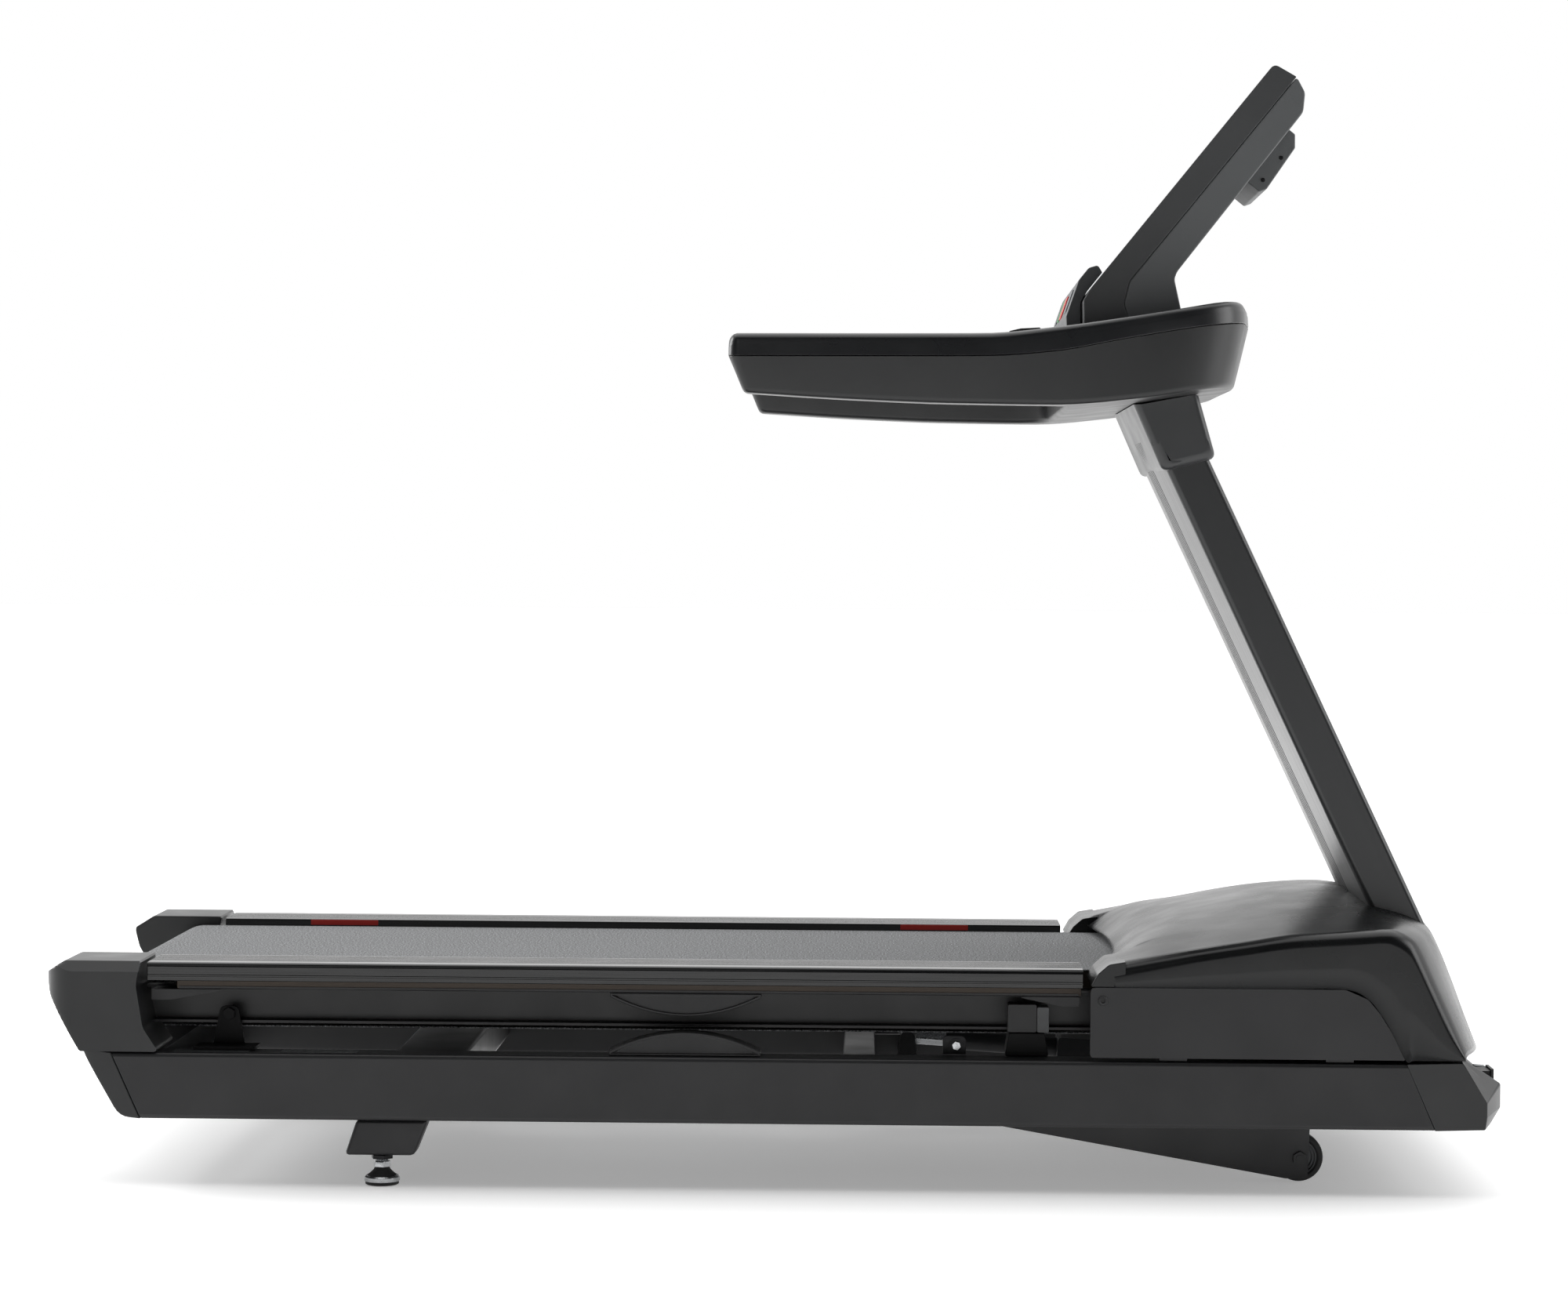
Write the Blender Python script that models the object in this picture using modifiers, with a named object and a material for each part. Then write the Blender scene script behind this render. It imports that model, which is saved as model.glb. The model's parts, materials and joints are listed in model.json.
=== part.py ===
"""Commercial treadmill: a belt deck that flexes on a welded base, a powered incline, and a
console carried on one wide mast.

Metres, +Z up, +X towards the motor end, +Y to the walker's left.  The origin is on the floor
under the middle of the machine.
"""
import math

import bmesh
import bpy
from mathutils import Matrix, Vector

# ------------------------------------------------------------------ driving dimensions
LENGTH = 2.12             # tail caps to the nose of the hood
HEIGHT = 1.643           # floor to the top of the display
BELT_WIDTH = 0.556
BELT_THICK = 0.0025
DECK_RISE = 0.118         # walking surface above the side tubes
BELT_MARGIN = 0.003       # belt edge to foot rail
BOARD_THICK = 0.025
RAIL_WIDTH = 0.109
RAIL_RISE = 0.011         # foot rail above the belt
RAIL_INSET = 0.025        # foot rail back from the side of the machine
ROLLER_RADIUS = 0.045
SHAFT_RADIUS = 0.010
TUBE_WIDTH = 0.060
TUBE_HEIGHT = 0.0965
TUBE_WALL = 0.003
GROUND_GAP = 0.0975       # floor to the underside of the side tubes
PLATE = 0.004             # steel plate and channel thickness
SHELL = 0.003             # moulded cover thickness
FLANGE = 0.025
MAST_HALF_WIDTH = 0.210
MAST_DEPTH = 0.065
MAST_CROWN = 0.007        # bulge of the front and rear faces
MAST_WALL = 0.004
MAST_CORNER = 0.011        # rounding of the mast's four long edges
ARM_HALF_SPAN = 0.420     # centre to the outer side of a handle arm
ARM_WIDTH = 0.068
DISPLAY_HALF_WIDTH = 0.290
DISPLAY_LENGTH = 0.380
WHEEL_RADIUS = 0.036
WHEEL_WIDTH = 0.026
LIFT_ARM_THICK = 0.008
FOOT_RADIUS = 0.0245
STEM_RADIUS = 0.009
PIN_RADIUS = 0.005
GAP = 0.0003              # clearance left between pieces that touch
RUNNING = 0.0010          # clearance beside a turning piece
OBJECT_NAME = "treadmill"

# ------------------------------------------------------------------ places worked out from them
CONSOLE_DATUM = HEIGHT + 0.007     # level that the console and display hang down from
NOSE = LENGTH / 2
TAIL = -LENGTH / 2
BELT_HALF = BELT_WIDTH / 2
RAIL_IN = BELT_HALF + BELT_MARGIN
RAIL_OUT = RAIL_IN + RAIL_WIDTH
SIDE = RAIL_OUT + RAIL_INSET
TUBE_IN = SIDE - TUBE_WIDTH
TUBE_TOP = GROUND_GAP + TUBE_HEIGHT
BELT_TOP = TUBE_TOP + DECK_RISE
RAIL_TOP = BELT_TOP + RAIL_RISE
BOARD_TOP = BELT_TOP - BELT_THICK - GAP
BOARD_BOTTOM = BOARD_TOP - BOARD_THICK
ROLLER_Z = BELT_TOP - BELT_THICK - GAP - ROLLER_RADIUS
BELT_BOTTOM = ROLLER_Z - ROLLER_RADIUS - GAP - BELT_THICK
REAR_ROLLER_X = TAIL + 0.115
FRONT_ROLLER_X = NOSE - 0.460
RAIL_REAR = TAIL + 0.148
RAIL_FRONT = NOSE - 0.610
MEMBER_IN = RAIL_IN + 0.025
MEMBER_TOP = BOARD_BOTTOM - GAP
MEMBER_BOTTOM = BELT_BOTTOM + 0.012
DECK_PIVOT_Z = MEMBER_BOTTOM + 0.0146
MEMBER_REAR = TAIL + 0.085
MEMBER_FRONT = NOSE - 0.190
DECK_PIVOT_X = TAIL + 0.260
ISOLATOR_X = NOSE - 0.690
BUMP_X = -0.06 * LENGTH
LEG_X = TAIL + 0.491
HOOD_REAR = NOSE - 0.6005
HOOD_HALF = SIDE - GAP
MOTOR_X = NOSE - 0.260
MOTOR_Z = ROLLER_Z + 0.0058
MOTOR_RADIUS = 0.055
MOTOR_PULLEY_RADIUS = 0.020
ROLLER_PULLEY_RADIUS = 0.036
PULLEY_IN = BELT_HALF + 0.004
PULLEY_OUT = MEMBER_IN - 0.003
MAST_FOOT = Vector((NOSE - 0.1082, 0, TUBE_TOP + 0.068))
MAST_HEAD = Vector((NOSE - 0.505, 0, CONSOLE_DATUM - 0.550))
LIFT_PIVOT = Vector((NOSE - 0.860, 0, GROUND_GAP + 0.0275))
LEVER = 0.050
WHEEL_CENTRE = Vector((NOSE - 0.283, 0, WHEEL_RADIUS))
LIFT_PIN = LIFT_PIVOT + Vector((0, 0, LEVER))
LIFT_MOTOR_PIVOT = Vector((NOSE - 0.460, 0, GROUND_GAP + 0.0525))
WHEEL_OUT = BELT_HALF - 0.002
LIFT_ARM_IN = WHEEL_OUT + 0.002

model = None
cutters = None


# ------------------------------------------------------------------ modelling helpers
def clear_scene():
    """Remove whatever the file opened with."""
    for thing in list(bpy.data.objects):
        bpy.data.objects.remove(thing, do_unlink=True)


def new_collection(name):
    """Make a collection and hang it under the scene."""
    group = bpy.data.collections.new(name)
    bpy.context.scene.collection.children.link(group)
    return group


def finish(name, colour, roughness, metallic):
    """Make the material of one part from an sRGB colour in hex."""
    material = bpy.data.materials.new(name)
    material.use_nodes = True
    shader = material.node_tree.nodes["Principled BSDF"]
    channels = [int(colour[i:i + 2], 16) / 255 for i in (1, 3, 5)]
    linear = [(c / 12.92 if c <= 0.04045 else ((c + 0.055) / 1.055) ** 2.4) for c in channels]
    shader.inputs["Base Color"].default_value = (*linear, 1)
    shader.inputs["Roughness"].default_value = roughness
    shader.inputs["Metallic"].default_value = metallic
    return material


LOOKS = {
    "frame": ("#363637", 0.45, 0.0),
    "cap": ("#3c3c3d", 0.50, 0.0),
    "hood": ("#2b2c2d", 0.40, 0.0),
    "rail": ("#1d1e1f", 0.25, 0.0),
    "board": ("#3a3433", 0.70, 0.0),
    "belt": ("#76787a", 0.85, 0.0),
    "mast": ("#7d8080", 0.35, 0.9),
    "console": ("#323334", 0.45, 0.0),
    "display": ("#4a4c4d", 0.55, 0.0),
    "glass": ("#101113", 0.08, 0.0),
    "steel": ("#9a9c9e", 0.30, 1.0),
    "rubber": ("#1a1a1a", 0.80, 0.0),
    "motor": ("#47494b", 0.45, 0.6),
    "red": ("#d23a32", 0.40, 0.0),
    "green": ("#3f8f4f", 0.40, 0.0),
    "button": ("#55585a", 0.45, 0.0),
}


def add_part(name, mesh, look, origin=None):
    """Put a mesh into the model as one named part, with its origin where asked."""
    if origin is not None:
        mesh.transform(Matrix.Translation(-Vector(origin)))
    part = bpy.data.objects.new(name, mesh)
    if origin is not None:
        part.location = origin
    mesh.materials.clear()
    mesh.materials.append(finish(name, *LOOKS[look]))
    model.objects.link(part)
    return part


def add_cutter(name, mesh):
    """Keep a helper solid out of the model, for a Boolean to use."""
    helper = bpy.data.objects.new(name, mesh)
    helper.hide_render = True
    helper.display_type = "WIRE"
    cutters.objects.link(helper)
    return helper


def boolean(part, mesh, operation):
    """Cut, join or intersect a part with a helper mesh given in world coordinates."""
    helper = add_cutter(f"{part.name}_{operation.lower()}_{len(part.modifiers)}", mesh)
    step = part.modifiers.new(operation.title(), "BOOLEAN")
    step.operation = operation
    step.solver = "EXACT"
    step.object = helper
    return helper


def cut(part, mesh):
    """Take a solid away from a part."""
    return boolean(part, mesh, "DIFFERENCE")


def join(part, mesh):
    """Weld a solid onto a part."""
    return boolean(part, mesh, "UNION")


def keep_inside(part, mesh):
    """Trim a part to a solid."""
    return boolean(part, mesh, "INTERSECT")


def bevel(part, width, segments=2, angle=40):
    """Round the edges of a part that are sharper than an angle."""
    step = part.modifiers.new("Bevel", "BEVEL")
    step.width = width
    step.segments = segments
    step.limit_method = "ANGLE"
    step.angle_limit = math.radians(angle)
    return part


def smooth(part, angle=35):
    """Shade a part smooth except over its sharp edges."""
    part.data.shade_smooth()
    part.data.set_sharp_from_angle(angle=math.radians(angle))
    return part


def rounded(points, radius, steps=4):
    """Return an outline with its corners turned into arcs; radius is one value or one each."""
    radii = radius if isinstance(radius, (list, tuple)) else [radius] * len(points)
    result = []
    count = len(points)
    for index, corner in enumerate(points):
        here = Vector(corner)
        back = Vector(points[index - 1]) - here
        ahead = Vector(points[(index + 1) % count]) - here
        turn = back.angle(ahead)
        if radii[index] <= 0 or math.pi - turn < 0.02:
            result.append(tuple(here))
            continue
        reach = min(radii[index] / math.tan(turn / 2), 0.49 * back.length, 0.49 * ahead.length)
        start = here + back.normalized() * reach
        end = here + ahead.normalized() * reach
        for step in range(steps + 1):
            t = step / steps
            result.append(tuple(start * (1 - t) ** 2 + here * 2 * t * (1 - t) + end * t ** 2))
    return result


def circle(centre, radius, steps=24, start=0.0, sweep=math.tau):
    """Return points on a circle, or on an arc that includes both its ends."""
    count = steps if sweep == math.tau else steps + 1
    return [(centre[0] + radius * math.cos(start + sweep * i / steps),
             centre[1] + radius * math.sin(start + sweep * i / steps)) for i in range(count)]


def slot_outline(rear, front, z, radius, steps=14):
    """Return an outline with straight top and bottom and a half circle at each end."""
    return (circle((front, z), radius, steps, -math.pi / 2, math.pi)
            + circle((rear, z), radius, steps, math.pi / 2, math.pi))


PLANES = {
    "XZ": Matrix(((1, 0, 0, 0), (0, 0, 1, 0), (0, 1, 0, 0), (0, 0, 0, 1))),
    "XY": Matrix.Identity(4),
    "YZ": Matrix(((0, 0, 1, 0), (1, 0, 0, 0), (0, 1, 0, 0), (0, 0, 0, 1))),
}


def prism(outline, low, high, plane="XZ", holes=()):
    """Return a mesh: a flat outline drawn in a plane and extruded from low to high across it."""
    sketch = bpy.data.curves.new("sketch", "CURVE")
    sketch.dimensions = "2D"
    sketch.fill_mode = "BOTH"
    sketch.extrude = abs(high - low) / 2
    for ring in (outline, *holes):
        spline = sketch.splines.new("POLY")
        spline.points.add(len(ring) - 1)
        for point, (u, v) in zip(spline.points, ring):
            point.co = (u, v, 0, 1)
        spline.use_cyclic_u = True
    holder = bpy.data.objects.new("sketch", sketch)
    bpy.context.scene.collection.objects.link(holder)
    graph = bpy.context.evaluated_depsgraph_get()
    mesh = bpy.data.meshes.new_from_object(holder.evaluated_get(graph))
    bpy.data.objects.remove(holder, do_unlink=True)
    bpy.data.curves.remove(sketch)
    work = bmesh.new()
    work.from_mesh(mesh)
    bmesh.ops.remove_doubles(work, verts=work.verts, dist=0.00001)
    bmesh.ops.translate(work, verts=work.verts, vec=(0, 0, (low + high) / 2))
    bmesh.ops.transform(work, matrix=PLANES[plane], verts=work.verts)
    flat = math.radians(0.5)
    bmesh.ops.dissolve_limit(work, angle_limit=flat, verts=work.verts, edges=work.edges)
    bmesh.ops.recalc_face_normals(work, faces=work.faces)
    work.to_mesh(mesh)
    work.free()
    mesh.name = "prism"
    return mesh


def block(low, high):
    """Return a box mesh between two corners."""
    mesh = bpy.data.meshes.new("block")
    work = bmesh.new()
    bmesh.ops.create_cube(work, size=1)
    size = Vector(high) - Vector(low)
    bmesh.ops.scale(work, vec=size, verts=work.verts)
    bmesh.ops.translate(work, verts=work.verts, vec=(Vector(low) + Vector(high)) / 2)
    work.to_mesh(mesh)
    work.free()
    return mesh


def bar(start, end, radius, sides=24):
    """Return a round bar mesh between two points."""
    start, end = Vector(start), Vector(end)
    mesh = bpy.data.meshes.new("bar")
    work = bmesh.new()
    bmesh.ops.create_cone(work, cap_ends=True, segments=sides, radius1=radius, radius2=radius,
                          depth=(end - start).length)
    turn = Vector((0, 0, 1)).rotation_difference(end - start).to_matrix().to_4x4()
    bmesh.ops.transform(work, matrix=Matrix.Translation((start + end) / 2) @ turn,
                        verts=work.verts)
    work.to_mesh(mesh)
    work.free()
    return mesh


def turned(name, profile, centre, axis, look, steps=32):
    """Add a lathe-turned part; profile is (radius, height) down its outer side."""
    mesh = bpy.data.meshes.new(name)
    closed = profile[0][0] > 0
    edges = [(i, i + 1) for i in range(len(profile) - 1)]
    if closed:
        edges.append((len(profile) - 1, 0))
    mesh.from_pydata([(r, 0, h) for r, h in profile], edges, [])
    part = add_part(name, mesh, look)
    part.location = centre
    part.rotation_euler = {"Z": (0, 0, 0), "Y": (-math.pi / 2, 0, 0)}[axis]
    step = part.modifiers.new("Screw", "SCREW")
    step.steps = steps
    step.render_steps = steps
    step.use_merge_vertices = True
    step.merge_threshold = 0.00005
    return part


def loft(first, first_y, second, second_y):
    """Return a solid between two outlines drawn in XZ at two places across the machine."""
    mesh = bpy.data.meshes.new("loft")
    work = bmesh.new()
    rows = [[work.verts.new((x, y, z)) for x, z in outline]
            for outline, y in ((first, first_y), (second, second_y))]
    count = len(first)
    for i in range(count):
        work.faces.new((rows[0][i], rows[0][(i + 1) % count], rows[1][(i + 1) % count], rows[1][i]))
    work.faces.new(rows[0])
    work.faces.new(rows[1][::-1])
    bmesh.ops.triangulate(work, faces=work.faces)
    bmesh.ops.recalc_face_normals(work, faces=work.faces)
    work.to_mesh(mesh)
    work.free()
    return mesh


def box_tube(width, height, corner, wall):
    """Return the outer outline and the hole of a rectangular tube, centred on nothing."""
    outer = [(-width / 2, -height / 2), (width / 2, -height / 2),
             (width / 2, height / 2), (-width / 2, height / 2)]
    inner = [(u - math.copysign(wall, u), v - math.copysign(wall, v)) for u, v in outer]
    return rounded(outer, corner, 3), rounded(inner, max(corner - wall, 0.001), 2)


def shift(points, du, dv):
    """Move an outline in its plane."""
    return [(u + du, v + dv) for u, v in points]


def between(line, x):
    """Read a height off a line given as (x, z) points."""
    for (x0, z0), (x1, z1) in zip(line, line[1:]):
        if x <= x1:
            return z0 + (z1 - z0) * max(0, (x - x0) / (x1 - x0))
    return line[-1][1]


def both_sides(inner, outer):
    """Yield each side's name, sign and its range across the machine, right side first."""
    yield "right", -1, -outer, -inner
    yield "left", 1, inner, outer


# ------------------------------------------------------------------ base frame
def build_side_tubes():
    """Two rectangular side tubes with slanted ends, open at both ends."""
    outer, hole = box_tube(TUBE_WIDTH, TUBE_HEIGHT, 0.007, TUBE_WALL)
    mid_z = GROUND_GAP + TUBE_HEIGHT / 2
    rear_top, rear_low = TAIL + 0.100, TAIL + 0.1435
    front_top, front_low = NOSE - 0.1445, NOSE - 0.103
    over = 0.01
    slope_rear = (rear_low - rear_top) / TUBE_HEIGHT
    slope_front = (front_low - front_top) / TUBE_HEIGHT
    for name, side, low, high in both_sides(TUBE_IN, SIDE):
        middle = (low + high) / 2
        tube = add_part(f"base_tube_{name}", prism(
            shift(outer, middle, mid_z), rear_top - over, front_low + over, "YZ",
            [shift(hole, middle, mid_z)]), "frame")
        top, base = TUBE_TOP + over, GROUND_GAP - over
        cut(tube, prism([(rear_top - slope_rear * over, top), (rear_low + slope_rear * over, base),
                         (rear_top - 0.1, base), (rear_top - 0.1, top)],
                        low - over, high + over))
        cut(tube, prism([(front_top - slope_front * over, top), (front_low + 0.1, top),
                         (front_low + 0.1, base), (front_low + slope_front * over, base)],
                        low - over, high + over))
        smooth(tube)


def build_crossmembers():
    """Square tubes welded between the side tubes."""
    reach = TUBE_IN - GAP
    outer, hole = box_tube(0.105, 0.060, 0.006, TUBE_WALL)
    rear_x, rear_z = TAIL + 0.555, GROUND_GAP + 0.0595
    rear = add_part("rear_crossmember", prism(
        shift(outer, rear_x, rear_z), -reach, reach, "XZ", [shift(hole, rear_x, rear_z)]), "frame")
    smooth(rear)
    tail_x, tail_top = TAIL + 0.165, TUBE_TOP - 0.004
    smooth(add_part("tail_crossmember", prism(
        [(tail_x, tail_top - 0.040), (tail_x + PLATE, tail_top - 0.040), (tail_x + PLATE, tail_top - PLATE),
         (tail_x + 0.060, tail_top - PLATE), (tail_x + 0.060, tail_top), (tail_x, tail_top)],
        -reach, reach), "frame"))
    narrow, bore = box_tube(0.050, 0.050, 0.005, TUBE_WALL)
    lift_x = LIFT_PIVOT.x - 0.075
    lift = add_part("lift_crossmember", prism(
        shift(narrow, lift_x, LIFT_PIVOT.z), -reach, reach, "XZ",
        [shift(bore, lift_x, LIFT_PIVOT.z)]), "frame")
    for name, side, low, high in both_sides(LIFT_ARM_IN - 0.006 - 0.012, LIFT_ARM_IN - 0.006):
        ear = prism([(lift_x + 0.02, LIFT_PIVOT.z - 0.02), (LIFT_PIVOT.x, LIFT_PIVOT.z - 0.02)]
                    + circle((LIFT_PIVOT.x, LIFT_PIVOT.z), 0.02, 10, -math.pi / 2, math.pi)[1:-1]
                    + [(LIFT_PIVOT.x, LIFT_PIVOT.z + 0.02), (lift_x + 0.02, LIFT_PIVOT.z + 0.02)],
                    low, high)
        join(lift, ear)
        cut(lift, bar((LIFT_PIVOT.x, low - 0.001, LIFT_PIVOT.z),
                      (LIFT_PIVOT.x, high + 0.001, LIFT_PIVOT.z), 0.0127 + GAP))
    smooth(lift)
    along = (MAST_HEAD - MAST_FOOT).normalized()
    square = Vector((along.z, 0, -along.x))
    seat_rear = MAST_FOOT - along * GAP
    seat_front = seat_rear + square * MAST_DEPTH
    front_x0, front_x1 = NOSE - 0.190, NOSE - 0.120
    front_top = GROUND_GAP + 0.0675
    front = add_part("front_crossmember", block(
        (front_x0, -reach, GROUND_GAP + 0.0125), (front_x1, reach, front_top)), "frame")
    join(front, prism([(front_x0 + 0.003, front_top - 0.015), (front_x1 - 0.003, front_top - 0.015),
                       (seat_front.x, seat_front.z), (seat_rear.x, seat_rear.z)],
                      -MAST_HALF_WIDTH + 0.02, MAST_HALF_WIDTH - 0.02))


def build_tube_caps():
    """Moulded caps on the four ends of the side tubes."""
    for name, side, low, high in both_sides(TUBE_IN, SIDE):
        rear = add_part(f"rear_cap_{name}", prism(rounded(
            [(TAIL + 0.100 - GAP, TUBE_TOP), (TAIL + 0.1435 - GAP, GROUND_GAP),
             (TAIL + 0.112, GROUND_GAP + 0.003), (TAIL + 0.054, TUBE_TOP + 0.0075)],
            [0, 0, 0.030, 0.006]), low, high), "cap")
        corner = prism(rounded(
            [(TAIL + 0.20, low), (TAIL + 0.20, high), (TAIL + 0.050, high), (TAIL + 0.050, low)],
            [0, 0, 0.035 if side > 0 else 0.008, 0.035 if side < 0 else 0.008]),
            GROUND_GAP - 0.01, TUBE_TOP + 0.02, "XY")
        keep_inside(rear, corner)
        smooth(rear)
        joint_top, joint_low = (NOSE - 0.1445 + GAP, TUBE_TOP), (NOSE - 0.103 + GAP, GROUND_GAP)
        outer_face = [joint_top, (NOSE - 0.0633, TUBE_TOP + 0.002), (NOSE - 0.0287, TUBE_TOP - 0.056),
                      (NOSE - 0.0287, TUBE_TOP - 0.076), (NOSE - 0.031, GROUND_GAP + 0.002), joint_low]
        inner_face = [joint_top, (NOSE - 0.058, TUBE_TOP + 0.003), (NOSE, TUBE_TOP - 0.034),
                      (NOSE, TUBE_TOP - 0.069), (NOSE - 0.015, GROUND_GAP + 0.002), joint_low]
        front = add_part(f"front_cap_{name}",
                         loft(outer_face, side * SIDE, inner_face, side * TUBE_IN), "cap")
        smooth(front)


def build_rail_end_caps():
    """Hollow moulded caps over the rear roller ends, standing on the side tubes."""
    roof = RAIL_TOP + 0.003
    floor_z = TUBE_TOP + 0.0085
    side_view = [(TAIL + 0.054, floor_z), (TAIL + 0.169, floor_z), (TAIL + 0.146, floor_z + 0.035),
                 (TAIL + 0.136, roof - 0.036), (TAIL + 0.141, roof), (TAIL + 0.030, roof),
                 (TAIL, roof - 0.019), (TAIL, roof - 0.026), (TAIL + 0.006, roof - 0.050)]
    hollow = [(TAIL + 0.054 + 2 * SHELL, floor_z - 0.01), (TAIL + 0.30, floor_z - 0.01),
              (TAIL + 0.30, roof - SHELL), (TAIL + 0.033, roof - SHELL),
              (TAIL + 2 * SHELL, roof - 0.024), (TAIL + 0.006 + 2 * SHELL, roof - 0.052)]
    inner = RAIL_IN + 0.001
    for name, side, low, high in both_sides(inner, SIDE):
        cap = add_part(f"rail_end_cap_{name}", prism(
            rounded(side_view, [0.004, 0.004, 0.03, 0.03, 0.003, 0.012, 0.004, 0.004, 0.02], 4),
            low, high), "cap")
        outline = rounded([(TAIL, low), (TAIL + 0.2, low), (TAIL + 0.2, high), (TAIL, high)],
                          [0.045 if side < 0 else 0, 0, 0, 0.045 if side > 0 else 0], 5)
        keep_inside(cap, prism(outline, 0.15, 0.40, "XY"))
        bevel(cap, 0.003, 2, 50)
        cut(cap, prism(hollow, low + SHELL + (0.014 if side < 0 else 0),
                       high - SHELL - (0.014 if side > 0 else 0)))
        chamfer = 0.015
        cut(cap, prism([(side * (SIDE - 0.014), roof + 0.001), (side * (SIDE + 0.001), roof + 0.001),
                        (side * (SIDE + 0.001), roof - chamfer - 0.001)],
                       TAIL - 0.01, TAIL + 0.20, "YZ"))
        inside = low if side > 0 else high
        cut(cap, prism(circle((REAR_ROLLER_X, ROLLER_Z), SHAFT_RADIUS + 0.012, 16, 0, math.pi)
                       + [(REAR_ROLLER_X - SHAFT_RADIUS - 0.012, floor_z - 0.01),
                          (REAR_ROLLER_X + SHAFT_RADIUS + 0.012, floor_z - 0.01)],
                       inside - 0.01, inside + 0.01))
        smooth(cap)


def build_legs():
    """Slanted rear legs, bored for the levelling feet."""
    inner, outer = TUBE_IN + 0.001, TUBE_IN + 0.045
    top, base = GROUND_GAP - GAP, 0.0447
    lean = 0.0176
    for name, side, low, high in both_sides(inner, outer):
        leg = add_part(f"rear_leg_{name}", prism(
            [(LEG_X - 0.035, top), (LEG_X - 0.035 - lean, base), (LEG_X + 0.049, base),
             (LEG_X + 0.070, top)], low, high), "frame")
        bevel(leg, 0.006, 2)
        middle = (low + high) / 2
        cut(leg, bar((LEG_X, middle, base - 0.01), (LEG_X, middle, top - 0.008),
                     STEM_RADIUS + GAP, 20))
        smooth(leg)
        build_foot(name, (LEG_X, middle, 0), top - 0.012)


def build_foot(name, centre, stem_top):
    """One levelling foot: rubber pad, cup, hexagon and threaded stem, turned as one."""
    hexagon = STEM_RADIUS + 0.0035
    foot = turned(f"levelling_foot_{name}", [
        (0, stem_top), (STEM_RADIUS, stem_top), (STEM_RADIUS, 0.0345), (hexagon, 0.0345),
        (hexagon, 0.0265), (STEM_RADIUS + 0.001, 0.0262), (0.016, 0.0190),
        (FOOT_RADIUS + 0.0015, 0.0130), (FOOT_RADIUS + 0.0015, 0.0050), (FOOT_RADIUS, 0.0048),
        (FOOT_RADIUS, 0.0010), (FOOT_RADIUS - 0.001, 0), (0, 0)], centre, "Z", "rubber", 20)
    smooth(foot)


def build_bump_stops():
    """Low moulded arches that stop the deck at the end of its flex."""
    for name, side, low, high in both_sides(TUBE_IN + 0.004, SIDE - 0.012):
        arch = [(BUMP_X - 0.110, TUBE_TOP + GAP), (BUMP_X + 0.110, TUBE_TOP + GAP)]
        for step in range(13):
            t = 1 - step / 6
            arch.append((BUMP_X + 0.106 * t, TUBE_TOP + 0.004 + 0.030 * (1 - t * t)))
        stop = add_part(f"bump_stop_{name}", prism(arch, low, high), "rubber")
        smooth(stop)


def build_isolators():
    """Rubber mounts that carry the front half of the deck."""
    for name, side, low, high in both_sides(MEMBER_IN + 0.006, SIDE - 0.045):
        foot_z = TUBE_TOP + GAP
        mount = add_part(f"deck_isolator_{name}", prism(rounded(
            [(ISOLATOR_X - 0.032, foot_z), (ISOLATOR_X + 0.032, foot_z),
             (ISOLATOR_X + 0.026, MEMBER_BOTTOM - GAP), (ISOLATOR_X - 0.026, MEMBER_BOTTOM - GAP)],
            0.003, 2), low, high), "rubber")
        smooth(mount)


def build_deck_pivots():
    """Brackets on the side tubes with the bolts that the deck turns on."""
    for name, side, low, high in both_sides(MEMBER_IN + FLANGE + 0.004, TUBE_IN + 0.030):
        face = low if side > 0 else high
        wall = sorted((face, face + side * 0.006))
        top = DECK_PIVOT_Z + 0.011
        bracket = add_part(f"deck_pivot_{name}", prism(rounded(
            [(DECK_PIVOT_X - 0.024, TUBE_TOP + GAP), (DECK_PIVOT_X + 0.024, TUBE_TOP + GAP),
             (DECK_PIVOT_X + 0.013, top), (DECK_PIVOT_X - 0.013, top)], [0, 0, 0.009, 0.009]),
            *wall), "steel")
        join(bracket, block((DECK_PIVOT_X - 0.045, low, TUBE_TOP + GAP),
                            (DECK_PIVOT_X + 0.045, high, TUBE_TOP + GAP + 0.005)))
        join(bracket, bar((DECK_PIVOT_X, side * (MEMBER_IN - 0.003), DECK_PIVOT_Z),
                          (DECK_PIVOT_X, face + side * 0.008, DECK_PIVOT_Z), 0.008))
        join(bracket, bar((DECK_PIVOT_X, face + side * 0.005, DECK_PIVOT_Z),
                          (DECK_PIVOT_X, face + side * 0.012, DECK_PIVOT_Z), 0.0095, 6))
        smooth(bracket)


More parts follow.
